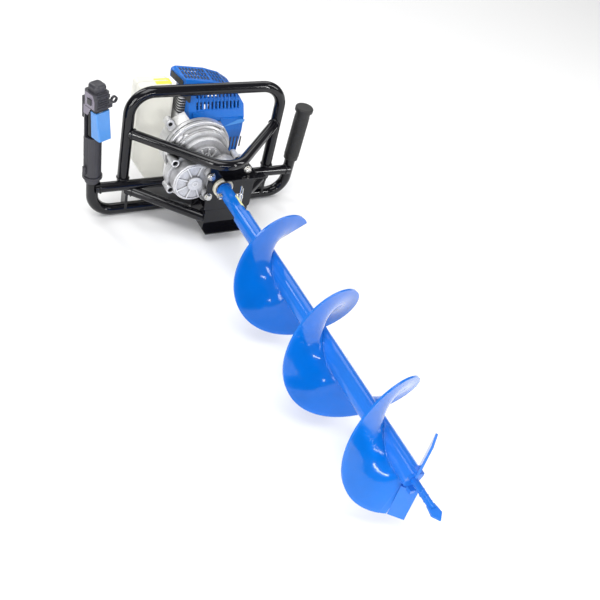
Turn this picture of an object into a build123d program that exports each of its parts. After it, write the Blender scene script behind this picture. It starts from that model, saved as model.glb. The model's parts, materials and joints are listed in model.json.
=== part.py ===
"""Engine-driven ice and earth auger: power head, welded tube frame and one large screw bit."""

import os
from math import atan2, cos, pi, radians, sin, sqrt

from build123d import *

os.makedirs("parts", exist_ok=True)

# Frame, in millimetres: X runs across the two handles, -Y is the drilling direction, +Z is the way
# the grips point. The origin is on the drilling axis at the front face of the bracket plate.

# --- Tube frame ---
HANDLE_TUBE_R = 12.5
HANDLE_Y = 120
HANDLE_BOTTOM_Z = -122
LEFT_CORNER_X = 235
LEFT_SPLAY = 0.048
RIGHT_CORNER_X = 226
RIGHT_SPLAY = 0.03
HANDLE_BEND_R = 45
THROTTLE_TOP_Z = 166
PLAIN_TOP_Z = 101
LOOP_TUBE_R = 12
LOOP_Y = 126
LOOP_X = 171
LOOP_TOP_Z = 157
LOOP_BEND_R = 50
CROSSBAR_Z = -56
CROSSBAR_Y = 112
BRACE_TUBE_R = 11
TUBE_WALL = 2
UPPER_BRACE_Z = 66
UPPER_BRACE_TIP_Y = -37
UPPER_BRACE_BEND_R = 55
LOWER_BRACE_FOOT = (166, 116, -68)
LOWER_BRACE_TIP = (24, 12, -86)
STRUT_X = 165
STRUT_SIZE = (6, 24)
BELLY_Z = -98
BELLY_THICKNESS = 3

# --- Bracket that carries the gearbox ---
PLATE_THICKNESS = 5
PLATE_LEFT = -34
PLATE_RIGHT = 72
PLATE_TOP = 56
PLATE_BOTTOM = -58
STRIP_Z = 26
STRIP_LENGTH = 94
LIP_DEPTH = 18
CHANNEL_INSET = 4
CHANNEL_DEPTH = 70
CHANNEL_BOTTOM = -110
SHEET = 3
PLATE_HOLE_R = 23
PLATE_BOLTS = [(-30, -21), (-30, 29), (44, -30), (50, 40)]

# --- Drive train: crank, idler and output axes, all parallel to Y ---
CRANK_X = -30
CRANK_Z = 41
STAGE1_MODULE = 1.25
STAGE1_PINION = 14
STAGE1_WHEEL = 59
STAGE2_MODULE = 1.75
STAGE2_PINION = 12
STAGE2_WHEEL = 54
GEAR_BACKLASH = 0.16
STAGE1_CENTRES = STAGE1_MODULE * (STAGE1_PINION + STAGE1_WHEEL) / 2
STAGE2_CENTRES = STAGE2_MODULE * (STAGE2_PINION + STAGE2_WHEEL) / 2
OUTPUT_SHAFT_R = 10
IDLER_SHAFT_R = 6
DRUM_SHAFT_R = 6
RUNNING_GAP = 0.05
GEARBOX_FRONT = 7
COVER_FACE = 19
GEARBOX_SPLIT = 50
GEARBOX_BACK = 62
GEARBOX_WALL = 5
FLANGE = 7
OUTPUT_LOBE_R = 55
IDLER_LOBE_R = 51
PINION_LOBE_R = 50
BRACE_RELIEF = 1.5

# --- Clutch, fan and engine ---
BELL_R = 70
BELL_BACK = 92
FAN_BACK = 122
FAN_R = 62
IMPELLER_R = 44
CASE_BACK = 204
CASE_R = 34
CYLINDER_Y = 168
BORE_R = 22
STROKE = 34
WEB_R = 26
STARTER_BACK = 242
CYLINDER_TOP = 128
FIN_LENGTH = 60
FIN_DEPTH = 54

# --- Blue engine cover ---
COVER_LEFT = -59
COVER_LEFT_FRONT = -42
COVER_RIGHT = 82
COVER_FRONT = 141
COVER_FOOT = 116
COVER_BACK = 206
COVER_BOTTOM = 86
COVER_TOP = 168
COVER_SKIN = 2.5
CASTING_STEP = 1
CYLINDER_GAP_LEFT = -64
CYLINDER_GAP_FRONT = 138
CYLINDER_GAP_HEIGHT = 60

# --- Fuel tank ---
TANK_LEFT = -143
TANK_RIGHT = -66
TANK_FRONT = 152
TANK_BACK = 204
TANK_BOTTOM = -84
TANK_TOP = 150
TANK_SKIN = 2.5
TANK_CHAMFER = (37, 59)

# --- Screw bit ---
FLIGHT_R = 100
FLIGHT_PITCH = 211
FLIGHT_THICKNESS = 4
FLIGHT_START_ANGLE = 32
FLIGHT_TURNS = 2.62
FLIGHT_ZERO_Y = -184
BIT_TUBE_R = 18.3
SOCKET_R = 14.6
SOCKET_FRONT = -9
SOCKET_STEP = -103
BIT_TUBE_END = -768
PILOT_TIP = -847
PILOT_R = 6
BLADE_WIDTH = 29
BLADE_THICKNESS = 4
BLADE_TILT = 42

# --- Grips ---
GRIP_R = 17.5
RUBBER_GRIP_R = 16.5


def across(y, x=0, z=0):
    """Plane square to the drilling axis at (x, y, z): its x is the row's X, its y is the row's Z."""
    return Plane(origin=(x, y, z), x_dir=(1, 0, 0), z_dir=(0, -1, 0))


def keep(piece, name):
    """Label one finished piece and write it."""
    piece.part.label = name
    export_step(piece.part, f"parts/{name}.step")


def bent_tube(corners, bend_r, outer_r, wall):
    """A round tube bent along straight runs; wall 0 gives a solid bar of the same outline."""
    with BuildPart() as tube:
        with BuildLine() as route:
            if bend_r:
                FilletPolyline(*corners, radius=bend_r)
            else:
                Polyline(*corners)
        with BuildSketch(Plane(origin=route.line @ 0, z_dir=route.line % 0)):
            Circle(outer_r)
            if wall:
                Circle(outer_r - wall, mode=Mode.SUBTRACT)
        sweep()
    return tube


# ------------------------------------------------------------------ tube frame
throttle_drop = THROTTLE_TOP_Z - HANDLE_BOTTOM_Z
plain_drop = PLAIN_TOP_Z - HANDLE_BOTTOM_Z
HANDLE_ROUTE = [
    (-LEFT_CORNER_X - LEFT_SPLAY * throttle_drop, HANDLE_Y, THROTTLE_TOP_Z),
    (-LEFT_CORNER_X, HANDLE_Y, HANDLE_BOTTOM_Z),
    (RIGHT_CORNER_X, HANDLE_Y, HANDLE_BOTTOM_Z),
    (RIGHT_CORNER_X + RIGHT_SPLAY * plain_drop, HANDLE_Y, PLAIN_TOP_Z),
]
handle_tube = bent_tube(HANDLE_ROUTE, HANDLE_BEND_R, HANDLE_TUBE_R, TUBE_WALL)
handle_solid = bent_tube(HANDLE_ROUTE, HANDLE_BEND_R, HANDLE_TUBE_R, 0)
keep(handle_tube, "handle_tube")

with BuildPart() as handle_crossbar:
    with BuildSketch(Plane.YZ.offset(-LEFT_CORNER_X)):
        with Locations((CROSSBAR_Y, CROSSBAR_Z)):
            Circle(BRACE_TUBE_R)
            Circle(BRACE_TUBE_R - TUBE_WALL, mode=Mode.SUBTRACT)
    extrude(amount=LEFT_CORNER_X + RIGHT_CORNER_X)
    add(handle_solid.part, mode=Mode.SUBTRACT)
keep(handle_crossbar, "handle_crossbar")

with BuildPart() as crossbar_solid:
    with BuildSketch(Plane.YZ.offset(-LEFT_CORNER_X)):
        with Locations((CROSSBAR_Y, CROSSBAR_Z)):
            Circle(BRACE_TUBE_R)
    extrude(amount=LEFT_CORNER_X + RIGHT_CORNER_X)

LOOP_ROUTE = [
    (-LOOP_X, LOOP_Y, CROSSBAR_Z),
    (-LOOP_X, LOOP_Y, LOOP_TOP_Z),
    (LOOP_X, LOOP_Y, LOOP_TOP_Z),
    (LOOP_X, LOOP_Y, CROSSBAR_Z),
]
guard_solid = bent_tube(LOOP_ROUTE, LOOP_BEND_R, LOOP_TUBE_R, 0)
with BuildPart() as guard_loop:
    add(bent_tube(LOOP_ROUTE, LOOP_BEND_R, LOOP_TUBE_R, TUBE_WALL).part)
    add(crossbar_solid.part, mode=Mode.SUBTRACT)
keep(guard_loop, "guard_loop")

UPPER_BRACE_ROUTE = [
    (-LOOP_X, LOOP_Y, UPPER_BRACE_Z),
    (0, UPPER_BRACE_TIP_Y, UPPER_BRACE_Z),
    (LOOP_X, LOOP_Y, UPPER_BRACE_Z),
]
upper_brace_solid = bent_tube(UPPER_BRACE_ROUTE, UPPER_BRACE_BEND_R, BRACE_TUBE_R, 0)
with BuildPart() as upper_brace:
    add(bent_tube(UPPER_BRACE_ROUTE, UPPER_BRACE_BEND_R, BRACE_TUBE_R, TUBE_WALL).part)
    add(guard_solid.part, mode=Mode.SUBTRACT)
keep(upper_brace, "upper_brace")

foot_x, foot_y, foot_z = LOWER_BRACE_FOOT
tip_x, tip_y, tip_z = LOWER_BRACE_TIP


with BuildPart() as lower_brace:
    for side in (-1, 1):
        foot = (side * foot_x, foot_y, foot_z)
        tip = (side * tip_x, tip_y, tip_z)
        add(bent_tube([foot, tip], 0, BRACE_TUBE_R, TUBE_WALL).part)
    add(crossbar_solid.part, mode=Mode.SUBTRACT)
    add(guard_solid.part, mode=Mode.SUBTRACT)
    with BuildSketch(Plane.XY.offset(CHANNEL_BOTTOM)):
        with Locations(((PLATE_LEFT + PLATE_RIGHT) / 2, CHANNEL_DEPTH / 2)):
            Rectangle(PLATE_RIGHT - PLATE_LEFT - 2 * CHANNEL_INSET, CHANNEL_DEPTH)
    extrude(amount=PLATE_BOTTOM - CHANNEL_BOTTOM, mode=Mode.SUBTRACT)
    with BuildSketch(across(-20)):
        with Locations((0, tip_z)):
            Rectangle(2 * PLATE_RIGHT, 60)
    extrude(amount=-20, mode=Mode.SUBTRACT)
keep(lower_brace, "lower_brace")

with BuildPart() as frame_struts:
    with BuildSketch(Plane.XY.offset(HANDLE_BOTTOM_Z)):
        with Locations((-STRUT_X, HANDLE_Y), (STRUT_X, HANDLE_Y)):
            Rectangle(*STRUT_SIZE)
    extrude(amount=CROSSBAR_Z - HANDLE_BOTTOM_Z)
    for brace in (handle_solid, crossbar_solid, guard_solid):
        add(brace.part, mode=Mode.SUBTRACT)
    for side in (-1, 1):
        foot = (side * foot_x, foot_y, foot_z)
        tip = (side * tip_x, tip_y, tip_z)
        add(bent_tube([foot, tip], 0, BRACE_TUBE_R, 0).part, mode=Mode.SUBTRACT)
keep(frame_struts, "frame_struts")

BELLY_OUTLINE = [(-132, 150), (-62, 160), (64, 160), (64, 70.3), (-30, 70.3), (-80, 104)]
with BuildPart() as belly_plate:
    with BuildSketch(Plane.XY.offset(BELLY_Z)):
        with BuildLine():
            Polyline(*BELLY_OUTLINE, close=True)
        make_face()
        fillet(vertices(), 5)
    extrude(amount=BELLY_THICKNESS)
    add(handle_solid.part, mode=Mode.SUBTRACT)
keep(belly_plate, "belly_plate")

# ------------------------------------------------------------------ bracket
with BuildPart() as bracket_plate:
    with BuildSketch(across(0)):
        with BuildLine():
            Polyline(
                (PLATE_LEFT, PLATE_BOTTOM),
                (PLATE_RIGHT, PLATE_BOTTOM),
                (PLATE_RIGHT, 30),
                (50, PLATE_TOP),
                (PLATE_LEFT, PLATE_TOP),
                close=True,
            )
        make_face()
        fillet(vertices(), 6)
        Circle(PLATE_HOLE_R, mode=Mode.SUBTRACT)
        with Locations(*PLATE_BOLTS):
            Circle(4.2, mode=Mode.SUBTRACT)
    extrude(amount=-PLATE_THICKNESS)
    with BuildSketch(Plane.XY.offset(STRIP_Z)):
        with Locations((STRIP_LENGTH / 2 - 6, -LIP_DEPTH / 2)):
            Rectangle(STRIP_LENGTH, LIP_DEPTH)
    extrude(amount=SHEET)
    add(upper_brace_solid.part, mode=Mode.SUBTRACT)
keep(bracket_plate, "bracket_plate")

channel_left = PLATE_LEFT + CHANNEL_INSET
channel_right = PLATE_RIGHT - CHANNEL_INSET
channel_middle = (channel_left + channel_right) / 2
channel_width = channel_right - channel_left
channel_height = PLATE_BOTTOM - 0.2 - CHANNEL_BOTTOM
with BuildPart() as bracket_channel:
    with BuildSketch(across(0, channel_middle, CHANNEL_BOTTOM + channel_height / 2)):
        Rectangle(channel_width, channel_height)
    extrude(amount=-CHANNEL_DEPTH)
    with BuildSketch(across(SHEET, channel_middle, CHANNEL_BOTTOM + channel_height / 2)):
        Rectangle(channel_width - 2 * SHEET, channel_height - 2 * SHEET)
    extrude(amount=-CHANNEL_DEPTH, mode=Mode.SUBTRACT)
    with BuildSketch(Plane.XY.offset(CHANNEL_BOTTOM)):
        with Locations((channel_middle, -LIP_DEPTH / 2)):
            Rectangle(channel_width, LIP_DEPTH)
    extrude(amount=SHEET)
keep(bracket_channel, "bracket_channel")

with BuildPart() as bracket_bolts:
    with BuildSketch(across(-6)):
        with Locations(*PLATE_BOLTS):
            RegularPolygon(6.5, 6)
    extrude(amount=-5.9)
    with BuildSketch(across(-0.1)):
        with Locations(*PLATE_BOLTS):
            Circle(4)
    extrude(amount=-(COVER_FACE - 1))
keep(bracket_bolts, "bracket_bolts")


# ------------------------------------------------------------------ gear train
def idler_centre():
    """Where the idler sits so that both gear pairs mesh at their working centres."""
    reach = sqrt(CRANK_X**2 + CRANK_Z**2)
    along = (STAGE2_CENTRES**2 - STAGE1_CENTRES**2 + reach**2) / (2 * reach)
    aside = sqrt(STAGE2_CENTRES**2 - along**2)
    ux, uz = CRANK_X / reach, CRANK_Z / reach
    return along * ux - aside * uz, along * uz + aside * ux


IDLER_X, IDLER_Z = idler_centre()


def involute_angle(pressure_radius_ratio):
    """Polar angle of an involute where the radius is this many base radii."""
    roll = sqrt(max(pressure_radius_ratio**2 - 1, 0))
    return roll - atan2(roll, 1)


def gear_points(teeth, module, turn):
    """Outline of a 20-degree spur gear whose first tooth points along the angle turn, in radians."""
    pitch_r = module * teeth / 2
    base_r = pitch_r * cos(radians(20))
    tip_r = pitch_r + module
    root_r = pitch_r - 1.25 * module
    start_r = max(base_r, root_r)
    half_tooth = pi / (2 * teeth) - GEAR_BACKLASH / (2 * pitch_r) + involute_angle(pitch_r / base_r)
    flank = [start_r + (tip_r - start_r) * step / 3 for step in range(4)]
    points = []
    for tooth in range(teeth):
        middle = turn + 2 * pi * tooth / teeth
        rising = [(r, middle - half_tooth + involute_angle(r / base_r)) for r in flank]
        falling = [(r, middle + half_tooth - involute_angle(r / base_r)) for r in reversed(flank)]
        if root_r < base_r:
            rising.insert(0, (root_r, middle - half_tooth))
            falling.append((root_r, middle + half_tooth))
        points += [(r * cos(a), r * sin(a)) for r, a in rising + falling]
    return points


def spur_gear(centre, y, width, teeth, module, turn, bore_r):
    """A spur gear with its front face at y, reaching width towards the engine."""
    with BuildPart() as gear:
        with BuildSketch(across(y, *centre)):
            with BuildLine():
                Polyline(*gear_points(teeth, module, turn), close=True)
            make_face()
            if bore_r:
                Circle(bore_r, mode=Mode.SUBTRACT)
        extrude(amount=-width)
    return gear


def mesh_turn(teeth, toward_gear, partner_teeth, partner_turn):
    """Turn that puts a gap of this gear on the partner's tooth along the line of centres."""
    partner_phase = (toward_gear + pi - partner_turn) * partner_teeth / (2 * pi)
    return toward_gear + (0.5 + partner_phase) * 2 * pi / teeth


IDLER_TO_OUTPUT = atan2(-IDLER_Z, -IDLER_X)
IDLER_TO_CRANK = atan2(CRANK_Z - IDLER_Z, CRANK_X - IDLER_X)
OUTPUT_TURN = IDLER_TO_OUTPUT + pi
STAGE2_PINION_TURN = mesh_turn(STAGE2_PINION, IDLER_TO_OUTPUT, STAGE2_WHEEL, OUTPUT_TURN)
STAGE1_WHEEL_TURN = STAGE2_PINION_TURN
STAGE1_PINION_TURN = mesh_turn(STAGE1_PINION, IDLER_TO_CRANK + pi, STAGE1_WHEEL, STAGE1_WHEEL_TURN)
STAGE2_Y = 27
STAGE2_WIDTH = 13
STAGE1_Y = 42.5
STAGE1_WIDTH = 8.5

output_gear = spur_gear((0, 0), STAGE2_Y, STAGE2_WIDTH, STAGE2_WHEEL, STAGE2_MODULE, OUTPUT_TURN,
                        OUTPUT_SHAFT_R)
keep(output_gear, "output_gear")
idler_gear = spur_gear((IDLER_X, IDLER_Z), STAGE1_Y, STAGE1_WIDTH, STAGE1_WHEEL, STAGE1_MODULE,
                       STAGE1_WHEEL_TURN, IDLER_SHAFT_R)
keep(idler_gear, "idler_gear")

with BuildPart() as idler_pinion:
    add(spur_gear((IDLER_X, IDLER_Z), STAGE2_Y, STAGE1_Y - STAGE2_Y, STAGE2_PINION, STAGE2_MODULE,
                  STAGE2_PINION_TURN, 0).part)
    with BuildSketch(across(COVER_FACE + GEARBOX_WALL)):
        with Locations((IDLER_X, IDLER_Z)):
            Circle(IDLER_SHAFT_R)
    extrude(amount=-(GEARBOX_BACK - COVER_FACE - 2 * GEARBOX_WALL - 0.5))
keep(idler_pinion, "idler_pinion")

drum_pinion = spur_gear((CRANK_X, CRANK_Z), STAGE1_Y - 1, STAGE1_WIDTH + 4, STAGE1_PINION,
                        STAGE1_MODULE, STAGE1_PINION_TURN, 4)
keep(drum_pinion, "drum_pinion")

# ------------------------------------------------------------------ gearbox castings
OUTPUT = (0, 0)
IDLER = (IDLER_X, IDLER_Z)
CRANK = (CRANK_X, CRANK_Z)
CASTING_BOLTS = [(-98, 45), (-101, -20), (-30, 57), (40, 42), (41, -41), (-41, -41)]
BOSS_R = 8.5
BOSS_FRONT = 34
BOSS_SOCKET_R = 5.6
BOSS_SOCKET_DEPTH = 6.5
BOLT_R = 3
PLATE_BOSS_R = 9
OUTPUT_BOSS_R = 30
IDLER_DOME_R = 16
BEARING_WIDTH = 8
OUTPUT_CAVITY_R = 51
IDLER_CAVITY_R = 40


def gearbox_outline(y, output_r, idler_r, crank_r, depth, mode=Mode.ADD):
    """A slab of the gearbox outline: the hull of its three shaft lobes."""
    with BuildSketch(across(y)) as outline:
        with Locations(OUTPUT):
            Circle(output_r)
        with Locations(IDLER):
            Circle(idler_r)
        with Locations(CRANK):
            Circle(crank_r)
        make_hull()
    extrude(outline.sketch, amount=-depth, mode=mode)


brace_relief = bent_tube(UPPER_BRACE_ROUTE, UPPER_BRACE_BEND_R, BRACE_TUBE_R + BRACE_RELIEF, 0)
with BuildPart() as gearbox_cover:
    gearbox_outline(GEARBOX_SPLIT - FLANGE, OUTPUT_LOBE_R - 2, IDLER_LOBE_R, PINION_LOBE_R, FLANGE - 0.1)
    with BuildSketch(across(COVER_FACE)):
        with Locations(OUTPUT):
            Circle(OUTPUT_LOBE_R)
        with Locations(IDLER):
            Circle(IDLER_LOBE_R - 6)
    extrude(amount=-(GEARBOX_SPLIT - COVER_FACE - FLANGE))
    with BuildSketch(across(GEARBOX_SPLIT - 2 * FLANGE)):
        with Locations(CRANK):
            Circle(PINION_LOBE_R - 14)
    extrude(amount=-FLANGE)
    fillet(edges().filter_by(GeomType.CIRCLE).group_by(Axis.Y)[0], 3)
    with BuildSketch(across(COVER_FACE - 6)):
        with Locations(IDLER):
            Circle(IDLER_DOME_R)
    extrude(amount=-7)
    with BuildSketch(across(GEARBOX_FRONT)):
        with Locations(OUTPUT):
            Circle(OUTPUT_BOSS_R)
    extrude(amount=-(COVER_FACE - GEARBOX_FRONT + 1))
    with BuildSketch(across(PLATE_THICKNESS + 0.3)):
        with Locations(*PLATE_BOLTS):
            Circle(PLATE_BOSS_R)
    extrude(amount=-(GEARBOX_SPLIT - FLANGE - PLATE_THICKNESS - 0.3))
    with BuildSketch(across(BOSS_FRONT)):
        with Locations(*CASTING_BOLTS):
            Circle(BOSS_R)
    extrude(amount=-(GEARBOX_SPLIT - BOSS_FRONT - 0.1))
    for centre, front, cavity_r in ((OUTPUT, STAGE2_Y - 2, OUTPUT_CAVITY_R), (IDLER, COVER_FACE + 4, 13)):
        with BuildSketch(across(front)):
            with Locations(centre):
                Circle(cavity_r)
        extrude(amount=-(GEARBOX_SPLIT - front), mode=Mode.SUBTRACT)
    with BuildSketch(across(STAGE1_Y - 1.5)):
        with Locations(IDLER):
            Circle(IDLER_CAVITY_R)
        with Locations(CRANK):
            Circle(12)
        make_hull()
    extrude(amount=-(GEARBOX_SPLIT - STAGE1_Y + 1.5), mode=Mode.SUBTRACT)
    with BuildSketch(across(0)):
        with Locations(OUTPUT):
            Circle(OUTPUT_SHAFT_R + 9)
    extrude(amount=-GEARBOX_SPLIT, mode=Mode.SUBTRACT)
    with BuildSketch(across(0)):
        with Locations(*PLATE_BOLTS):
            Circle(4.1)
    extrude(amount=-(COVER_FACE + 2), mode=Mode.SUBTRACT)
    with BuildSketch(across(0)):
        with Locations(*CASTING_BOLTS):
            Circle(BOSS_SOCKET_R)
    extrude(amount=-(BOSS_FRONT + BOSS_SOCKET_DEPTH), mode=Mode.SUBTRACT)
    with BuildSketch(across(0)):
        with Locations(*CASTING_BOLTS):
            Circle(BOLT_R + 0.1)
    extrude(amount=-GEARBOX_SPLIT, mode=Mode.SUBTRACT)
    add(brace_relief.part, mode=Mode.SUBTRACT)
keep(gearbox_cover, "gearbox_cover")

with BuildPart() as gearbox_housing:
    gearbox_outline(GEARBOX_SPLIT, OUTPUT_LOBE_R, IDLER_LOBE_R, PINION_LOBE_R,
                    GEARBOX_BACK - GEARBOX_SPLIT)
    with BuildSketch(across(GEARBOX_BACK - 5)):
        with Locations(CRANK):
            Circle(BELL_R - 11)
    extrude(amount=-5)
    with BuildSketch(across(GEARBOX_SPLIT)):
        with Locations(*CASTING_BOLTS):
            Circle(BOSS_R)
    extrude(amount=-10)
    cavity_depth = GEARBOX_BACK - GEARBOX_SPLIT - GEARBOX_WALL
    gearbox_outline(GEARBOX_SPLIT, 30, IDLER_CAVITY_R, 12, cavity_depth, mode=Mode.SUBTRACT)
    with BuildSketch(across(GEARBOX_SPLIT)):
        with Locations(*CASTING_BOLTS):
            Circle(BOLT_R + 0.1)
    extrude(amount=-8, mode=Mode.SUBTRACT)
    with BuildSketch(across(GEARBOX_SPLIT)):
        with Locations(CRANK):
            Circle(DRUM_SHAFT_R + 8)
    extrude(amount=-(GEARBOX_BACK - GEARBOX_SPLIT), mode=Mode.SUBTRACT)
    add(brace_relief.part, mode=Mode.SUBTRACT)
keep(gearbox_housing, "gearbox_housing")

with BuildPart() as gearbox_bolts:
    with BuildSketch(across(BOSS_FRONT + 1.5)):
        with Locations(*CASTING_BOLTS):
            Circle(5)
    extrude(amount=-5)
    with BuildSketch(across(BOSS_FRONT + 4)):
        with Locations(*CASTING_BOLTS):
            Circle(BOLT_R)
    extrude(amount=-(GEARBOX_SPLIT - BOSS_FRONT - 1))
    with BuildSketch(across(BOSS_FRONT + 1.5)):
        with Locations(*CASTING_BOLTS):
            RegularPolygon(3, 6)
    extrude(amount=-3, mode=Mode.SUBTRACT)
keep(gearbox_bolts, "gearbox_bolts")


def bearing(centre, y, shaft_r, outer_r, width):
    """A plain ring that stands for one ball bearing, with a running gap on its shaft."""
    with BuildSketch(across(y, *centre)) as ring:
        Circle(outer_r - 0.02)
        Circle(shaft_r + RUNNING_GAP, mode=Mode.SUBTRACT)
    extrude(ring.sketch, amount=-width)


with BuildPart() as gearbox_bearings:
    bearing(OUTPUT, GEARBOX_FRONT, OUTPUT_SHAFT_R, OUTPUT_SHAFT_R + 9, BEARING_WIDTH)
    bearing(OUTPUT, GEARBOX_BACK - GEARBOX_WALL - BEARING_WIDTH, OUTPUT_SHAFT_R, 17, BEARING_WIDTH)
    bearing(IDLER, COVER_FACE + 4, IDLER_SHAFT_R, 13, 3.5)
    bearing(IDLER, GEARBOX_BACK - GEARBOX_WALL - 5, IDLER_SHAFT_R, 13, 5)
    bearing(CRANK, GEARBOX_BACK - BEARING_WIDTH, DRUM_SHAFT_R, DRUM_SHAFT_R + 8, BEARING_WIDTH)
keep(gearbox_bearings, "gearbox_bearings")

with BuildPart() as output_collar:
    with BuildSketch(across(-6)):
        Circle(22)
        Circle(SOCKET_R + 1.5, mode=Mode.SUBTRACT)
    extrude(amount=-(GEARBOX_FRONT + 5.8))
    chamfer(edges().filter_by(GeomType.CIRCLE).group_by(Axis.Y)[0], 1.5)
keep(output_collar, "output_collar")

SHAFT_REAR = 56.5
SHAFT_NOSE = -84
PIN_Y = -30
with BuildPart() as output_shaft:
    with BuildSketch(across(SHAFT_NOSE)):
        Circle(OUTPUT_SHAFT_R)
    extrude(amount=-(SHAFT_REAR - SHAFT_NOSE))
    with BuildSketch(Plane.YZ.offset(-OUTPUT_SHAFT_R)):
        with Locations((PIN_Y, 0)):
            Circle(4)
    extrude(amount=2 * OUTPUT_SHAFT_R, mode=Mode.SUBTRACT)
keep(output_shaft, "output_shaft")

# ------------------------------------------------------------------ clutch and crank train
DRUM_FRONT = GEARBOX_BACK + 4
DRUM_BACK = DRUM_FRONT + 22
DRUM_R = 40
SHOE_R = 36

with BuildPart() as clutch_drum:
    with BuildSketch(across(DRUM_FRONT, *CRANK)):
        Circle(DRUM_R)
    extrude(amount=-(DRUM_BACK - DRUM_FRONT))
    with BuildSketch(across(DRUM_FRONT + 3, *CRANK)):
        Circle(DRUM_R - 3)
    extrude(amount=-(DRUM_BACK - DRUM_FRONT), mode=Mode.SUBTRACT)
    with BuildSketch(across(DRUM_FRONT, *CRANK)):
        Circle(DRUM_SHAFT_R)
    extrude(amount=DRUM_FRONT - STAGE1_Y - STAGE1_WIDTH - 3)
    with BuildSketch(across(STAGE1_Y - 1, *CRANK)):
        Circle(4)
    extrude(amount=-(STAGE1_WIDTH + 6))
keep(clutch_drum, "clutch_drum")


def clutch_shoe(side):
    """One clutch shoe: a half ring with a pad, clear of the drum when it is at rest."""
    with BuildPart() as shoe:
        with BuildSketch(across(DRUM_FRONT + 6, *CRANK)):
            Circle(SHOE_R)
            Circle(13, mode=Mode.SUBTRACT)
            with Locations((0, -side * (SHOE_R - 2))):
                Rectangle(2 * SHOE_R + 2, 2 * SHOE_R, mode=Mode.SUBTRACT)
        extrude(amount=-12)
    return shoe


clutch_shoe_upper = clutch_shoe(1)
keep(clutch_shoe_upper, "clutch_shoe_upper")
clutch_shoe_lower = clutch_shoe(-1)
keep(clutch_shoe_lower, "clutch_shoe_lower")

with BuildPart() as clutch_housing:
    with BuildSketch(Plane(origin=(CRANK_X, 0, CRANK_Z), x_dir=(1, 0, 0), z_dir=(0, 0, 1))):
        with BuildLine():
            Polyline(
                (46, GEARBOX_BACK + 0.3),
                (BELL_R - 9, GEARBOX_BACK + 0.3),
                (BELL_R - 9, GEARBOX_BACK + 7),
                (BELL_R - 3, GEARBOX_BACK + 12),
                (BELL_R - 3, BELL_BACK - 9),
                (BELL_R + 2, BELL_BACK - 9),
                (BELL_R + 2, BELL_BACK),
                (BELL_R - 12, BELL_BACK),
                (BELL_R - 12, GEARBOX_BACK + 12),
                (46, GEARBOX_BACK + 6),
                close=True,
            )
        make_face()
    revolve(axis=Axis((CRANK_X, 0, CRANK_Z), (0, 1, 0)))
keep(clutch_housing, "clutch_housing")

SHAFT_R = 7
CARRIER_R = 12
WEB_THICKNESS = 8
ROD_SLAB = 6.5
with BuildPart() as crankshaft:
    for side, shaft_end in ((-1, DRUM_FRONT + 5), (1, STARTER_BACK - 8)):
        web_inner = CYLINDER_Y + side * ROD_SLAB
        with BuildSketch(across(web_inner, *CRANK)):
            Circle(WEB_R)
        extrude(amount=-side * WEB_THICKNESS)
        with BuildSketch(across(web_inner + side * WEB_THICKNESS, *CRANK)):
            Circle(SHAFT_R)
        extrude(amount=-(shaft_end - web_inner - side * WEB_THICKNESS))
    with BuildSketch(across(DRUM_FRONT + 7, *CRANK)):
        Circle(CARRIER_R)
    extrude(amount=-10)
keep(crankshaft, "crankshaft")

FLYWHEEL_FRONT = 96
with BuildPart() as flywheel:
    with BuildSketch(across(FLYWHEEL_FRONT, *CRANK)):
        Circle(IMPELLER_R - 10)
        Circle(SHAFT_R, mode=Mode.SUBTRACT)
    extrude(amount=-18)
    with BuildSketch(across(FLYWHEEL_FRONT + 2, *CRANK)):
        with PolarLocations(IMPELLER_R - 8, 18):
            Rectangle(14, 2.4, rotation=25)
    extrude(amount=-14)
keep(flywheel, "flywheel")

LUG = (-60, 52)
LUG_R = 9
with BuildPart() as crankcase:
    with BuildSketch(across(BELL_BACK + 0.3, *CRANK)):
        Circle(FAN_R + 11)
        with Locations(LUG):
            Circle(LUG_R)
    extrude(amount=-(FAN_BACK - BELL_BACK - 0.3))
    with BuildSketch(across(FAN_BACK, *CRANK)):
        Circle(CASE_R)
    extrude(amount=-(CASE_BACK - FAN_BACK))
    with BuildSketch(across(CYLINDER_Y - 28, CRANK_X, CRANK_Z + 20)):
        Rectangle(60, 52)
    extrude(amount=-56)
    with BuildSketch(across(BELL_BACK)):
        with Locations(((COVER_LEFT + COVER_RIGHT) / 2 + 5, COVER_BOTTOM + 20)):
            Rectangle(COVER_RIGHT - COVER_LEFT, 40 + 2 * CASTING_STEP)
    extrude(amount=-(FAN_BACK - BELL_BACK), mode=Mode.SUBTRACT)
    with BuildSketch(across(BELL_BACK, *CRANK)):
        Circle(FAN_R - 16)
    extrude(amount=-(FAN_BACK - BELL_BACK - 4), mode=Mode.SUBTRACT)
    with BuildSketch(across(CYLINDER_Y - 18, *CRANK)):
        Circle(WEB_R + 3)
    extrude(amount=-36, mode=Mode.SUBTRACT)
    with BuildSketch(Plane.XY.offset(CRANK_Z)):
        with Locations((CRANK_X, CYLINDER_Y)):
            Circle(BORE_R + 2)
    extrude(amount=60, mode=Mode.SUBTRACT)
    with BuildSketch(across(BELL_BACK, *CRANK)):
        Circle(SHAFT_R + RUNNING_GAP)
    extrude(amount=-(CASE_BACK - BELL_BACK), mode=Mode.SUBTRACT)
keep(crankcase, "crankcase")

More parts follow.
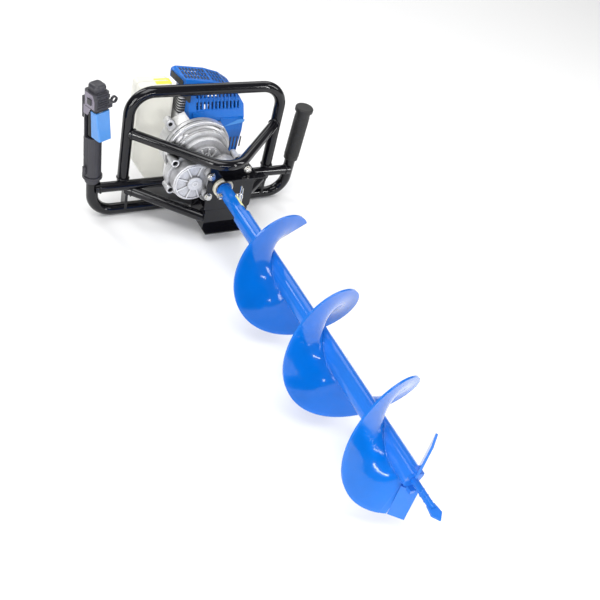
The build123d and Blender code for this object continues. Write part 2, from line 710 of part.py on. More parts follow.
# ------------------------------------------------------------------ top end
CYLINDER_BASE = CRANK_Z + 46.2
PISTON_HEIGHT = 30
ROD_LENGTH = 58
PIN_BOTTOM = CRANK_Z - STROKE / 2
PISTON_PIN_Z = PIN_BOTTOM + ROD_LENGTH
with BuildPart() as cylinder:
    with BuildSketch(Plane.XY.offset(CYLINDER_BASE)):
        with Locations((CRANK_X, CYLINDER_Y)):
            Circle(BORE_R + 5)
    extrude(amount=CYLINDER_TOP - CYLINDER_BASE + 14)
    for fin in range(7):
        with BuildSketch(Plane.XY.offset(CYLINDER_BASE + 4 + 6 * fin)):
            with Locations((CRANK_X, CYLINDER_Y)):
                RectangleRounded(FIN_LENGTH, FIN_DEPTH, 8)
        extrude(amount=2)
    with BuildSketch(Plane.XY.offset(CYLINDER_BASE)):
        with Locations((CRANK_X, CYLINDER_Y)):
            RectangleRounded(FIN_LENGTH, FIN_DEPTH, 8)
    extrude(amount=3.5)
    with BuildSketch(Plane.XY.offset(CYLINDER_BASE)):
        with Locations((CRANK_X, CYLINDER_Y)):
            Circle(BORE_R)
    extrude(amount=CYLINDER_TOP + 6 - CYLINDER_BASE, mode=Mode.SUBTRACT)
    with BuildSketch(Plane.XY.offset(CYLINDER_TOP)):
        with Locations((CRANK_X, CYLINDER_Y)):
            Circle(5)
    extrude(amount=20, mode=Mode.SUBTRACT)
keep(cylinder, "cylinder")

with BuildPart() as piston:
    with BuildSketch(Plane.XY.offset(PISTON_PIN_Z - 14)):
        with Locations((CRANK_X, CYLINDER_Y)):
            Circle(BORE_R - RUNNING_GAP)
            Circle(BORE_R - 3.5, mode=Mode.SUBTRACT)
    extrude(amount=PISTON_HEIGHT - 5)
    with BuildSketch(Plane.XY.offset(PISTON_PIN_Z + 11)):
        with Locations((CRANK_X, CYLINDER_Y)):
            Circle(BORE_R - RUNNING_GAP)
    extrude(amount=5)
    with BuildSketch(across(CYLINDER_Y - BORE_R, CRANK_X, PISTON_PIN_Z)):
        Circle(5)
    extrude(amount=-2 * BORE_R, mode=Mode.SUBTRACT)
keep(piston, "piston")

with BuildPart() as connecting_rod:
    with BuildSketch(across(CYLINDER_Y - 5, CRANK_X, PIN_BOTTOM)):
        Circle(10)
        with Locations((0, ROD_LENGTH)):
            Circle(8)
        with Locations((0, ROD_LENGTH / 2)):
            Rectangle(9, ROD_LENGTH - 10)
        Circle(6, mode=Mode.SUBTRACT)
        with Locations((0, ROD_LENGTH)):
            Circle(5, mode=Mode.SUBTRACT)
    extrude(amount=-10)
keep(connecting_rod, "connecting_rod")

with BuildPart() as rod_pins:
    with BuildSketch(across(CYLINDER_Y - 6.2, CRANK_X, PIN_BOTTOM)):
        Circle(6)
    extrude(amount=-12.4)
    with BuildSketch(across(CYLINDER_Y - BORE_R + 1, CRANK_X, PISTON_PIN_Z)):
        Circle(5)
    extrude(amount=-2 * BORE_R + 2)
keep(rod_pins, "rod_pins")

PLUG_Z = CYLINDER_TOP + 6
with BuildPart() as spark_plug:
    with BuildSketch(Plane.XY.offset(PLUG_Z - 1)):
        with Locations((CRANK_X, CYLINDER_Y)):
            Circle(4.8)
    extrude(amount=10)
    with BuildSketch(Plane.XY.offset(PLUG_Z + 8.2)):
        with Locations((CRANK_X, CYLINDER_Y)):
            RegularPolygon(8, 6)
    extrude(amount=4)
keep(spark_plug, "spark_plug")

with BuildPart() as plug_cap:
    with BuildSketch(Plane.XY.offset(PLUG_Z + 12.4)):
        with Locations((CRANK_X, CYLINDER_Y)):
            Circle(8)
    extrude(amount=9)
    fillet(edges().group_by(Axis.Z)[-1], 2)
keep(plug_cap, "plug_cap")

with BuildPart() as ignition_coil:
    with BuildSketch(across(FAN_BACK + 16, 26, 100)):
        RectangleRounded(22, 26, 4)
    extrude(amount=-18)
keep(ignition_coil, "ignition_coil")

MUFFLER_X = 65
with BuildPart() as muffler:
    with BuildSketch(Plane.XY.offset(14)):
        with Locations((MUFFLER_X, CYLINDER_Y + 6)):
            RectangleRounded(24, 44, 7)
    extrude(amount=98)
    fillet(edges().group_by(Axis.Z)[-1] + edges().group_by(Axis.Z)[0], 5)
    with BuildSketch(Plane.YZ.offset(MUFFLER_X)):
        with Locations((CYLINDER_Y, 104)):
            Circle(8)
    extrude(amount=CRANK_X - MUFFLER_X + BORE_R + 3)
    add(cylinder.part, mode=Mode.SUBTRACT)
keep(muffler, "muffler")

# ------------------------------------------------------------------ intake under the crankcase
PRIMER_R = 9
with BuildPart() as carburettor:
    with BuildSketch(Plane.XY.offset(-44)):
        with Locations((CRANK_X, CYLINDER_Y)):
            RectangleRounded(34, 36, 4)
    extrude(amount=40)
    with BuildSketch(Plane.XY.offset(-4)):
        with Locations((CRANK_X, CYLINDER_Y)):
            Circle(13)
    extrude(amount=12)
    with BuildSketch(Plane.YZ.offset(CRANK_X - 17)):
        with Locations((CYLINDER_Y + 6, -32)):
            Circle(PRIMER_R + 0.4)
    extrude(amount=4, mode=Mode.SUBTRACT)
    add(crankcase.part, mode=Mode.SUBTRACT)
keep(carburettor, "carburettor")

with BuildPart() as primer_bulb:
    with BuildSketch(Plane.YZ.offset(CRANK_X - 17.3)):
        with Locations((CYLINDER_Y + 6, -32)):
            Circle(PRIMER_R)
    extrude(amount=-10)
    fillet(edges().group_by(Axis.X)[0], PRIMER_R - 1)
keep(primer_bulb, "primer_bulb")

with BuildPart() as choke_lever:
    with BuildSketch(Plane.YZ.offset(CRANK_X - 17.3)):
        with Locations((CYLINDER_Y - 10, -14)):
            Circle(5)
        with Locations((CYLINDER_Y - 10, -22)):
            Rectangle(5, 22)
    extrude(amount=-3)
keep(choke_lever, "choke_lever")

with BuildPart() as air_filter_cover:
    with BuildSketch(Plane.YZ.offset(CRANK_X + 17.3)):
        with Locations((CYLINDER_Y + 2, -36)):
            RectangleRounded(68, 70, 10)
    extrude(amount=48)
    fillet(edges().group_by(Axis.X)[-1], 6)
keep(air_filter_cover, "air_filter_cover")

# ------------------------------------------------------------------ blue engine cover
COVER_INNER = 46
COVER_OUTLINE = [
    (COVER_LEFT, COVER_BOTTOM),
    (COVER_LEFT, COVER_TOP - 4),
    (COVER_LEFT + 9, COVER_TOP),
    (12, COVER_TOP - 7),
    (48, COVER_TOP - 18),
    (70, COVER_TOP - 32),
    (COVER_RIGHT, COVER_TOP - 50),
    (COVER_RIGHT + 2, 60),
    (COVER_RIGHT - 3, 2),
    (62, -8),
    (COVER_INNER, 24),
    (COVER_INNER, COVER_BOTTOM),
]
COVER_SIDE = [
    (COVER_FOOT, -20),
    (COVER_FOOT, COVER_BOTTOM + 8),
    (COVER_FRONT, COVER_TOP - 12),
    (COVER_FRONT + 10, COVER_TOP + 1),
    (COVER_BACK, COVER_TOP + 1),
    (COVER_BACK, -20),
]
COVER_PLAN = [
    (COVER_LEFT, COVER_BACK),
    (COVER_LEFT_FRONT, COVER_FOOT),
    (COVER_RIGHT + 6, COVER_FOOT),
    (COVER_RIGHT + 6, COVER_BACK),
]


def cover_blank(shrink):
    """The cover's outer form, drawn in by shrink; the form itself where shrink is 0."""
    with BuildPart() as blank:
        with BuildSketch(across(COVER_FOOT)):
            with BuildLine():
                Polyline(*COVER_OUTLINE, close=True)
            make_face()
            fillet(vertices(), 6)
            offset(amount=-shrink)
        extrude(amount=-(COVER_BACK - COVER_FOOT + shrink))
        with BuildSketch(Plane.YZ.offset(COVER_LEFT - 5)):
            with BuildLine():
                Polyline(*COVER_SIDE, close=True)
            make_face()
            offset(amount=-shrink)
        extrude(amount=COVER_RIGHT - COVER_LEFT + 15, mode=Mode.INTERSECT)
        with BuildSketch(Plane.XY.offset(-30)):
            with BuildLine():
                Polyline(*COVER_PLAN, close=True)
            make_face()
            offset(amount=-shrink)
        extrude(amount=COVER_TOP + 40, mode=Mode.INTERSECT)
    return blank


with BuildPart() as engine_cover:
    add(cover_blank(0).part)
    add(cover_blank(COVER_SKIN).part, mode=Mode.SUBTRACT)
    with BuildSketch(across(COVER_BACK - 3)):
        with BuildLine():
            Polyline(*COVER_OUTLINE, close=True)
        make_face()
        offset(amount=-COVER_SKIN, kind=Kind.INTERSECTION)
    extrude(amount=-6, mode=Mode.SUBTRACT)
    with BuildSketch(Plane.XY.offset(COVER_BOTTOM - 1)):
        with Locations(((CYLINDER_GAP_LEFT + 50) / 2, (CYLINDER_GAP_FRONT + COVER_BACK) / 2)):
            Rectangle(50 - CYLINDER_GAP_LEFT, COVER_BACK - CYLINDER_GAP_FRONT)
    extrude(amount=CYLINDER_GAP_HEIGHT, mode=Mode.SUBTRACT)
    with BuildSketch(across(COVER_FOOT - 1)):
        with Locations((22, 118), (22, 140)):
            with GridLocations(8.5, 1, 12, 1):
                RectangleRounded(3.8, 15, 1.5)
        with Locations((73, 18)):
            with GridLocations(8, 1, 4, 1):
                RectangleRounded(3.5, 24, 1.5)
    extrude(amount=-34, mode=Mode.SUBTRACT)
    with BuildSketch(Plane.XY.offset(COVER_TOP)):
        with Locations((-8, (COVER_FRONT + COVER_BACK) / 2 + 4)):
            with GridLocations(8, 26, 8, 2):
                RectangleRounded(3.5, 20, 1.5)
    extrude(amount=-3 * COVER_SKIN, mode=Mode.SUBTRACT)
keep(engine_cover, "engine_cover")

# ------------------------------------------------------------------ recoil starter
with BuildPart() as starter_housing:
    with BuildSketch(across(CASE_BACK + 0.3, *CRANK)):
        Circle(52)
    extrude(amount=-(STARTER_BACK - CASE_BACK - 0.3))
    fillet(edges().group_by(Axis.Y)[-1], 6)
    with BuildSketch(across(CASE_BACK, *CRANK)):
        Circle(49)
    extrude(amount=-(STARTER_BACK - CASE_BACK - 3), mode=Mode.SUBTRACT)
    with BuildSketch(across(STARTER_BACK - 3, *CRANK)):
        with PolarLocations(34, 10):
            SlotOverall(20, 5, rotation=90)
    extrude(amount=-3, mode=Mode.SUBTRACT)
    with BuildSketch(Plane.YZ.offset(CRANK_X + 44)):
        with Locations((CASE_BACK + 20, 14)):
            Circle(5)
    extrude(amount=20, mode=Mode.SUBTRACT)
keep(starter_housing, "starter_housing")

with BuildPart() as starter_pulley:
    with BuildSketch(across(CASE_BACK + 10, *CRANK)):
        Circle(30)
        Circle(SHAFT_R + RUNNING_GAP, mode=Mode.SUBTRACT)
    extrude(amount=-16)
    with BuildSketch(across(CASE_BACK + 15, *CRANK)):
        Circle(31)
        Circle(25, mode=Mode.SUBTRACT)
    extrude(amount=-6, mode=Mode.SUBTRACT)
keep(starter_pulley, "starter_pulley")

HANDLE_PULL_X = CRANK_X + 53
with BuildPart() as starter_handle:
    with BuildSketch(Plane.YZ.offset(HANDLE_PULL_X)):
        with Locations((CASE_BACK + 20, 14)):
            SlotOverall(46, 14, rotation=90)
    extrude(amount=14)
    fillet(edges().group_by(Axis.X)[-1], 4)
keep(starter_handle, "starter_handle")

# ------------------------------------------------------------------ fuel tank
chamfer_x, chamfer_z = TANK_CHAMFER
TANK_OUTLINE = [
    (TANK_LEFT, TANK_BOTTOM + chamfer_z),
    (TANK_LEFT, TANK_TOP),
    (TANK_RIGHT, TANK_TOP),
    (TANK_RIGHT, TANK_BOTTOM),
    (TANK_LEFT + chamfer_x, TANK_BOTTOM),
]
CAP_X = TANK_LEFT + 31
CAP_Z = 96
with BuildPart() as fuel_tank:
    with BuildSketch(across(TANK_FRONT)):
        with BuildLine():
            Polyline(*TANK_OUTLINE, close=True)
        make_face()
        fillet(vertices(), 12)
    extrude(amount=-(TANK_BACK - TANK_FRONT))
    fillet(edges().group_by(Axis.Y)[0] + edges().group_by(Axis.Y)[-1], 8)
    with BuildSketch(across(TANK_BACK - 2, CAP_X, CAP_Z)):
        Circle(17)
    extrude(amount=-10)
    with BuildSketch(across(TANK_FRONT + TANK_SKIN)):
        with BuildLine():
            Polyline(*TANK_OUTLINE, close=True)
        make_face()
        fillet(vertices(), 12)
        offset(amount=-TANK_SKIN)
    extrude(amount=-(TANK_BACK - TANK_FRONT - 2 * TANK_SKIN), mode=Mode.SUBTRACT)
    with BuildSketch(across(TANK_BACK - 6, CAP_X, CAP_Z)):
        Circle(14)
    extrude(amount=-20, mode=Mode.SUBTRACT)
keep(fuel_tank, "fuel_tank")

with BuildPart() as fuel_cap:
    with BuildSketch(across(TANK_BACK + 1, CAP_X, CAP_Z)):
        Circle(21)
    extrude(amount=-14)
    fillet(edges().group_by(Axis.Y)[-1], 2)
    with BuildSketch(across(TANK_BACK, CAP_X, CAP_Z)):
        Circle(17.3)
    extrude(amount=-8.4, mode=Mode.SUBTRACT)
    with BuildSketch(across(TANK_BACK, CAP_X, CAP_Z)):
        with PolarLocations(21.4, 24):
            Circle(1)
    extrude(amount=-16, mode=Mode.SUBTRACT)
keep(fuel_cap, "fuel_cap")

# ------------------------------------------------------------------ throttle grip, on the left tube
THROTTLE_TURN = 22
TRIGGER_TOP = 137
TRIGGER_LENGTH = 59
TRIGGER_HALF_WIDTH = 17
TRIGGER_TAPER = 2
TRIGGER_WALL = 3
TRIGGER_FRONT_TOP = -30
TRIGGER_FRONT_FOOT = -39
TRIGGER_BACK = -12
HOUSING_BOTTOM = 142
HOUSING_HEIGHT = 34
RING = (41, 144)
RING_OUTER_R = 7.5
RING_INNER_R = 5
RING_FRONT = -14.5
RING_THICKNESS = 5
SLEEVE_BOTTOM = -32
SLEEVE_TOP = 70


def left_grip(height):
    """Plane square to the left tube at this row height; its -y is where the trigger points."""
    x = -LEFT_CORNER_X - LEFT_SPLAY * (height - HANDLE_BOTTOM_Z)
    across_grip = (cos(radians(THROTTLE_TURN)), sin(radians(THROTTLE_TURN)), 0)
    return Plane(origin=(x, HANDLE_Y, height), x_dir=across_grip, z_dir=(-LEFT_SPLAY, 0, 1))


def grip_front(height):
    """Plane through the left tube's centre line at this row height, facing where the trigger points."""
    base = left_grip(height)
    return Plane(origin=base.origin, x_dir=base.x_dir, z_dir=-base.y_dir)


def grip_side(height):
    """Plane through the left tube's centre line at this row height, facing along the trigger's pivot."""
    base = left_grip(height)
    return Plane(origin=base.origin, x_dir=base.y_dir, z_dir=base.x_dir)


def right_grip(height):
    """Plane square to the right tube where its centre line is at this row height."""
    x = RIGHT_CORNER_X + RIGHT_SPLAY * (height - HANDLE_BOTTOM_Z)
    return Plane(origin=(x, HANDLE_Y, height), x_dir=(1, 0, 0), z_dir=(RIGHT_SPLAY, 0, 1))


with BuildPart() as throttle_grip:
    with BuildSketch(left_grip(SLEEVE_BOTTOM)):
        Circle(GRIP_R)
    extrude(amount=SLEEVE_TOP - SLEEVE_BOTTOM)
    with BuildSketch(left_grip(SLEEVE_BOTTOM)):
        Circle(GRIP_R + 2.5)
    extrude(amount=6)
    with BuildSketch(left_grip(SLEEVE_BOTTOM - 10)):
        Circle(HANDLE_TUBE_R + 3)
    extrude(amount=11)
    add(handle_solid.part, mode=Mode.SUBTRACT)
keep(throttle_grip, "throttle_grip")

with BuildPart() as grip_clamp_knob:
    with BuildSketch(left_grip(SLEEVE_BOTTOM + 24)):
        with Locations((-GRIP_R - 3, 0)):
            Circle(4)
    extrude(amount=9, both=True)
    add(throttle_grip.part, mode=Mode.SUBTRACT)
keep(grip_clamp_knob, "grip_clamp_knob")

with BuildPart() as throttle_housing:
    with BuildSketch(left_grip(HOUSING_BOTTOM)):
        with Locations((0, -10.5)):
            RectangleRounded(36, 37, 7)
    extrude(amount=HOUSING_HEIGHT)
    with BuildSketch(left_grip(HOUSING_BOTTOM + HOUSING_HEIGHT - 2)):
        with Locations((1, -10)):
            RectangleRounded(29, 29, 9)
    extrude(amount=17)
    fillet(edges().group_by(Axis.Z)[-1], 7)
    with BuildSketch(left_grip(SLEEVE_TOP + 0.3)):
        Circle(GRIP_R)
        with Locations((0, -GRIP_R + 3)):
            Rectangle(2 * GRIP_R, 2 * GRIP_R, mode=Mode.SUBTRACT)
    extrude(amount=HOUSING_BOTTOM - SLEEVE_TOP)
    with BuildSketch(left_grip(HOUSING_BOTTOM)):
        with Locations((12.5, -19.5)):
            RectangleRounded(24, 20, 3)
    extrude(amount=8)
    with BuildSketch(left_grip(RING[1] - 2)):
        with Locations((RING[0] / 2 + 5, RING_FRONT + RING_THICKNESS / 2)):
            Rectangle(RING[0] - 12, RING_THICKNESS)
    extrude(amount=4)
    with BuildSketch(grip_front(RING[1])):
        with Locations((RING[0], 0)):
            Circle(RING_OUTER_R)
    extrude(amount=-RING_FRONT)
    with BuildSketch(grip_front(RING[1])):
        with Locations((RING[0], 0)):
            Circle(RING_OUTER_R)
    extrude(amount=-RING_FRONT - RING_THICKNESS, mode=Mode.SUBTRACT)
    with BuildSketch(grip_front(RING[1])):
        with Locations((RING[0], 0)):
            Circle(RING_INNER_R)
    extrude(amount=-RING_FRONT + 1, mode=Mode.SUBTRACT)
    add(handle_solid.part, mode=Mode.SUBTRACT)
keep(throttle_housing, "throttle_housing")


def trigger_blank(shrink):
    """The trigger's outer form, its walls drawn in by shrink; open at the back where shrink is not 0."""
    front_top = TRIGGER_FRONT_TOP + shrink
    front_foot = TRIGGER_FRONT_FOOT + shrink
    back = TRIGGER_BACK + 2 * shrink
    half = TRIGGER_HALF_WIDTH - shrink
    with BuildPart() as blank:
        with BuildSketch(grip_side(TRIGGER_TOP)):
            with BuildLine():
                Polyline((front_top, 0), (back, 0), (back, -TRIGGER_LENGTH), (front_foot, -TRIGGER_LENGTH),
                         close=True)
            make_face()
        extrude(amount=TRIGGER_HALF_WIDTH + 1, both=True)
        with BuildSketch(grip_front(TRIGGER_TOP)):
            with BuildLine():
                Polyline((-half, 0), (half, 0), (half - TRIGGER_TAPER, -TRIGGER_LENGTH),
                         (TRIGGER_TAPER - half, -TRIGGER_LENGTH), close=True)
            make_face()
        extrude(amount=2 * GRIP_R + 10, mode=Mode.INTERSECT)
    return blank


with BuildPart() as throttle_trigger:
    add(trigger_blank(0).part)
    fillet(edges().filter_by(lambda edge: abs(edge.tangent_at(0.5).Z) > 0.9), 3)
    add(trigger_blank(TRIGGER_WALL).part, mode=Mode.SUBTRACT)
keep(throttle_trigger, "throttle_trigger")

with BuildPart() as lock_lever:
    with BuildSketch(left_grip(TRIGGER_TOP - 36)):
        with Locations((0, GRIP_R + 7)):
            RectangleRounded(12, 6, 2)
    extrude(amount=46)
keep(lock_lever, "lock_lever")

with BuildPart() as kill_switch:
    with BuildSketch(left_grip(HOUSING_BOTTOM + 10)):
        with Locations((-18, -12)):
            RectangleRounded(6, 12, 2)
    extrude(amount=12)
    add(throttle_housing.part, mode=Mode.SUBTRACT)
keep(kill_switch, "kill_switch")

# ------------------------------------------------------------------ plain grip, on the right tube
with BuildPart() as rubber_grip:
    with BuildSketch(right_grip(-30)):
        Circle(RUBBER_GRIP_R)
    extrude(amount=PLAIN_TOP_Z + 30)
    with BuildSketch(right_grip(PLAIN_TOP_Z - 6)):
        Circle(RUBBER_GRIP_R + 4)
    extrude(amount=9)
    fillet(edges().filter_by(GeomType.CIRCLE).group_by(Axis.Z)[-1], 3)
    add(handle_solid.part, mode=Mode.SUBTRACT)
keep(rubber_grip, "rubber_grip")

# ------------------------------------------------------------------ screw bit
with BuildPart() as auger_tube:
    with BuildSketch(across(SOCKET_FRONT)):
        Circle(SOCKET_R)
    extrude(amount=SOCKET_FRONT - SOCKET_STEP + 6)
    with BuildSketch(across(SOCKET_STEP)):
        Circle(BIT_TUBE_R)
    extrude(amount=SOCKET_STEP - BIT_TUBE_END)
    with BuildSketch(across(SOCKET_FRONT)):
        Circle(OUTPUT_SHAFT_R + RUNNING_GAP)
    extrude(amount=SOCKET_FRONT - SOCKET_STEP, mode=Mode.SUBTRACT)
    with BuildSketch(across(SOCKET_STEP - 12)):
        Circle(BIT_TUBE_R - 3.2)
    extrude(amount=SOCKET_STEP - BIT_TUBE_END - 18, mode=Mode.SUBTRACT)
    with BuildSketch(Plane.YZ.offset(-SOCKET_R)):
        with Locations((PIN_Y, 0)):
            Circle(4)
    extrude(amount=2 * SOCKET_R, mode=Mode.SUBTRACT)
keep(auger_tube, "auger_tube")

flight_start_y = FLIGHT_ZERO_Y - FLIGHT_PITCH * FLIGHT_START_ANGLE / 360
flight_root_r = BIT_TUBE_R + 0.1
flight_middle_r = (flight_root_r + FLIGHT_R) / 2
start_x_dir = (cos(radians(FLIGHT_START_ANGLE)), 0, sin(radians(FLIGHT_START_ANGLE)))
flight_plane = Plane(origin=(0, flight_start_y, 0), x_dir=start_x_dir, z_dir=(0, -1, 0))
with BuildPart() as flight_blank:
    with BuildLine() as spiral:
        Helix(pitch=FLIGHT_PITCH, height=FLIGHT_PITCH * FLIGHT_TURNS, radius=flight_middle_r)
    with BuildSketch(Plane(origin=spiral.line @ 0, x_dir=(1, 0, 0), z_dir=spiral.line % 0)):
        Rectangle(FLIGHT_R - flight_root_r, FLIGHT_THICKNESS)
    sweep(is_frenet=True)
with BuildPart() as auger_flight:
    add(flight_blank.part.located(flight_plane.location))
keep(auger_flight, "auger_flight")

BLADE_INNER_R = 22
with BuildPart() as cutter_blades:
    for side in (-1, 1):
        lean = (cos(radians(BLADE_TILT)) * -side, -sin(radians(BLADE_TILT)), 0)
        outward = (0, 0, side)
        facing = Vector(*outward).cross(Vector(*lean))
        middle = (0, BIT_TUBE_END - 2, side * (BLADE_INNER_R + FLIGHT_R) / 2)
        with BuildSketch(Plane(origin=middle, x_dir=outward, z_dir=facing)):
            Rectangle(FLIGHT_R - BLADE_INNER_R, BLADE_WIDTH)
        extrude(amount=BLADE_THICKNESS / 2, both=True)
    with BuildSketch(across(BIT_TUBE_END + 6)):
        Rectangle(10, 2 * BLADE_INNER_R + 8)
        Circle(BIT_TUBE_R + 0.1, mode=Mode.SUBTRACT)
    extrude(amount=16)
keep(cutter_blades, "cutter_blades")

with BuildPart() as pilot_point:
    with BuildSketch(across(BIT_TUBE_END)):
        Circle(PILOT_R)
    extrude(amount=BIT_TUBE_END - PILOT_TIP - 22)
    with BuildSketch(Plane.XY.offset(-2)):
        with BuildLine():
            Polyline(
                (-7, PILOT_TIP + 30),
                (7, PILOT_TIP + 30),
                (10, PILOT_TIP + 12),
                (0, PILOT_TIP),
                (-10, PILOT_TIP + 12),
                close=True,
            )
        make_face()
    extrude(amount=4)
keep(pilot_point, "pilot_point")

with BuildPart() as coupling_pin:
    with BuildSketch(Plane.YZ.offset(-SOCKET_R - 8)):
        with Locations((PIN_Y, 0)):
            Circle(3.9)
    extrude(amount=2 * SOCKET_R + 24)
    with BuildSketch(Plane.YZ.offset(-SOCKET_R - 8)):
        with Locations((PIN_Y, 0)):
            Circle(6.5)
    extrude(amount=6)
keep(coupling_pin, "coupling_pin")

with BuildPart() as coupling_clip:
    with BuildLine() as clip_route:
        FilletPolyline(
            (SOCKET_R + 9, PIN_Y - 5.4, 26),
            (SOCKET_R + 9, PIN_Y - 5.4, -14),
            (SOCKET_R + 9, PIN_Y - 17, -14),
            (SOCKET_R + 9, PIN_Y - 13, 26),
            radius=4,
        )
    with BuildSketch(Plane(origin=clip_route.line @ 0, z_dir=clip_route.line % 0)):
        Circle(1.3)
    sweep()
keep(coupling_clip, "coupling_clip")
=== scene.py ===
import json
import math

import bmesh
import bpy
from mathutils import Matrix, Vector


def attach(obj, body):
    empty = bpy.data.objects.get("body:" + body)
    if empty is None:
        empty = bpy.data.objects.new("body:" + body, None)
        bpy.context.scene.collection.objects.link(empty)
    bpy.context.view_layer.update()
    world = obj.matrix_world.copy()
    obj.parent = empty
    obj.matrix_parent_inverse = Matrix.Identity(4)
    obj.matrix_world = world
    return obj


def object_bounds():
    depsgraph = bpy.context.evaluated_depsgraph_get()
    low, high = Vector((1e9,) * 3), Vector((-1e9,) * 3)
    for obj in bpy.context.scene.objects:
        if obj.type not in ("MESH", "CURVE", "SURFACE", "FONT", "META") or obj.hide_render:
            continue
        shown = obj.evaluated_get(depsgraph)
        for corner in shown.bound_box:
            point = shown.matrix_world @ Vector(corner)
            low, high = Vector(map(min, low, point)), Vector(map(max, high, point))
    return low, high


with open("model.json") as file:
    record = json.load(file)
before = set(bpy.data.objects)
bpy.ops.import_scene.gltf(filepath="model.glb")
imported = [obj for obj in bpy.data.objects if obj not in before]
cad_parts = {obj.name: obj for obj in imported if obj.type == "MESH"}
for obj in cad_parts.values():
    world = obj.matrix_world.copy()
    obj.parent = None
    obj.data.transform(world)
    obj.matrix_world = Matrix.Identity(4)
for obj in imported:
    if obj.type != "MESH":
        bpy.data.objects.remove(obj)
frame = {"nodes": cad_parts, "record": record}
cad_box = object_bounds()
nodes = frame["nodes"]

# ---------------------------------------------------------------- the machine's own sizes, in millimetres
MM = 0.001
LOOP_X, LOOP_Y = 171, 126
BRACE_TOP_Z = 66
STRUT_FOOT = (166, 116, -68)
CROSSBAR_Y, CROSSBAR_Z, CROSSBAR_R = 112, -56, 11
CROSSBAR_LEFT, CROSSBAR_RIGHT = -224.5, 215
GRIP_Y, GRIP_FOOT_Z = 120, -122
RIGHT_GRIP_X, RIGHT_SLOPE = 226, 0.03
LEFT_GRIP_X, LEFT_SLOPE = -235, -0.048
THROTTLE_TURN = 22
HOUSING_FRONT, HOUSING_SIDE, HOUSING_TOP = -28.9, 17.9, 190.6
PLATE_BOLTS = ((-30, -21), (-30, 29), (44, -30), (50, 40))
CRANK = (-30, 41)
IDLER = (-57.57, 4.65)
STARTER_BACK = 241.6
COVER_STEP_Y = 116
TANK_LEFT, TANK_RIGHT = -143, -66
TANK_BOTTOM, TANK_TOP = -84, 150
TANK_CHAMFER = (37, 59)
SOCKET_R, BIT_TUBE_R = 14.6, 18.3
SOCKET_FRONT, SOCKET_STEP = -9, -103
FLIGHT_PITCH = 211
FLIGHT_ZERO_Y = -184
FLIGHT_LAST_ANGLE = 32 + 2.62 * 360

# ---------------------------------------------------------------- materials
COAT_ROUGHNESS = 0.06
BEVEL_RAYS = 6
# Rays and reach of the painted shade that darkens crevices.
CREVICE_SHADE_RAYS = 8
CREVICE_SHADE_REACH = 0.011
SHARP_ANGLE = 32


def set_shader(made, values):
    """Sets values straight on the sockets of a finish's main shader."""
    inputs = made.node_tree.nodes["Principled BSDF"].inputs
    for socket, value in values.items():
        inputs[socket].default_value = value


def finish_of(name, colour, roughness, metallic=0.0, coat=0.0, vary=0.08, broad=14.0, grain=900.0,
              depth=0.00004, round_edge=0.0006, wear=0.0, spread=0.06, crevice_shade=0.0):
    """A procedural finish: broad colour variation, fine grain in bump and roughness, rounded edges, lighter
    edge wear and painted shade in crevices.
    """
    made = bpy.data.materials.new(name)
    made.use_nodes = True
    tree = made.node_tree
    shader = tree.nodes["Principled BSDF"]
    set_shader(made, {"Metallic": metallic, "Coat Weight": coat, "Coat Roughness": COAT_ROUGHNESS})

    def node(kind, **values):
        """A new node with these values on its sockets."""
        made_node = tree.nodes.new(kind)
        for key, value in values.items():
            made_node.inputs[key].default_value = value
        return made_node

    def mixed(below, factor=None, above=None, colour_above=None, blend="MIX"):
        """The colour that comes out when another colour is laid over the one below."""
        mix = node("ShaderNodeMixRGB", Fac=1.0)
        mix.blend_type = blend
        tree.links.new(below, mix.inputs["Color1"])
        if factor:
            tree.links.new(factor, mix.inputs["Fac"])
        if above:
            tree.links.new(above, mix.inputs["Color2"])
        else:
            mix.inputs["Color2"].default_value = colour_above
        return mix.outputs["Color"]

    place = node("ShaderNodeTexCoord")
    cloud = node("ShaderNodeTexNoise", Scale=broad, Detail=5.0, Roughness=0.6)
    fine = node("ShaderNodeTexNoise", Scale=grain, Detail=3.0, Roughness=0.55)
    for noise in (cloud, fine):
        tree.links.new(place.outputs["Object"], noise.inputs["Vector"])
    ramp = node("ShaderNodeValToRGB")
    for stop, position, change in zip(ramp.color_ramp.elements, (0.3, 0.7), (1 - vary, 1 + vary)):
        stop.position = position
        stop.color = [*(min(1, c * change) for c in colour), 1]
    tree.links.new(cloud.outputs["Fac"], ramp.inputs["Fac"])
    shown_colour = ramp.outputs["Color"]
    if wear:
        shape = node("ShaderNodeNewGeometry")
        sharp = node("ShaderNodeMapRange", **{"From Min": 0.52, "From Max": 0.62, "To Max": wear})
        tree.links.new(shape.outputs["Pointiness"], sharp.inputs["Value"])
        worn = [*(min(1, c * 1.5 + 0.12) for c in colour), 1]
        shown_colour = mixed(shown_colour, factor=sharp.outputs["Result"], colour_above=worn)
    # Painted shade: ambient occlusion darkens the colour in crevices and hollows, where shade falls.
    if crevice_shade:
        closed = node("ShaderNodeAmbientOcclusion", Distance=CREVICE_SHADE_REACH)
        closed.samples = CREVICE_SHADE_RAYS
        shade_factor = node("ShaderNodeMapRange", **{"From Min": 0.25, "From Max": 0.9, "To Min": 1 - crevice_shade})
        tree.links.new(closed.outputs["AO"], shade_factor.inputs["Value"])
        shown_colour = mixed(shown_colour, above=shade_factor.outputs["Result"], blend="MULTIPLY")
    tree.links.new(shown_colour, shader.inputs["Base Color"])
    rough = node("ShaderNodeMapRange", **{"From Min": 0.3, "From Max": 0.7,
                                          "To Min": max(0.02, roughness - spread),
                                          "To Max": roughness + spread})
    tree.links.new(fine.outputs["Fac"], rough.inputs["Value"])
    tree.links.new(rough.outputs["Result"], shader.inputs["Roughness"])
    bump = node("ShaderNodeBump", Distance=depth, Strength=1.0)
    tree.links.new(fine.outputs["Fac"], bump.inputs["Height"])
    if round_edge:
        bevel = node("ShaderNodeBevel", Radius=round_edge)
        bevel.samples = BEVEL_RAYS
        tree.links.new(bevel.outputs["Normal"], bump.inputs["Normal"])
    tree.links.new(bump.outputs["Normal"], shader.inputs["Normal"])
    return made


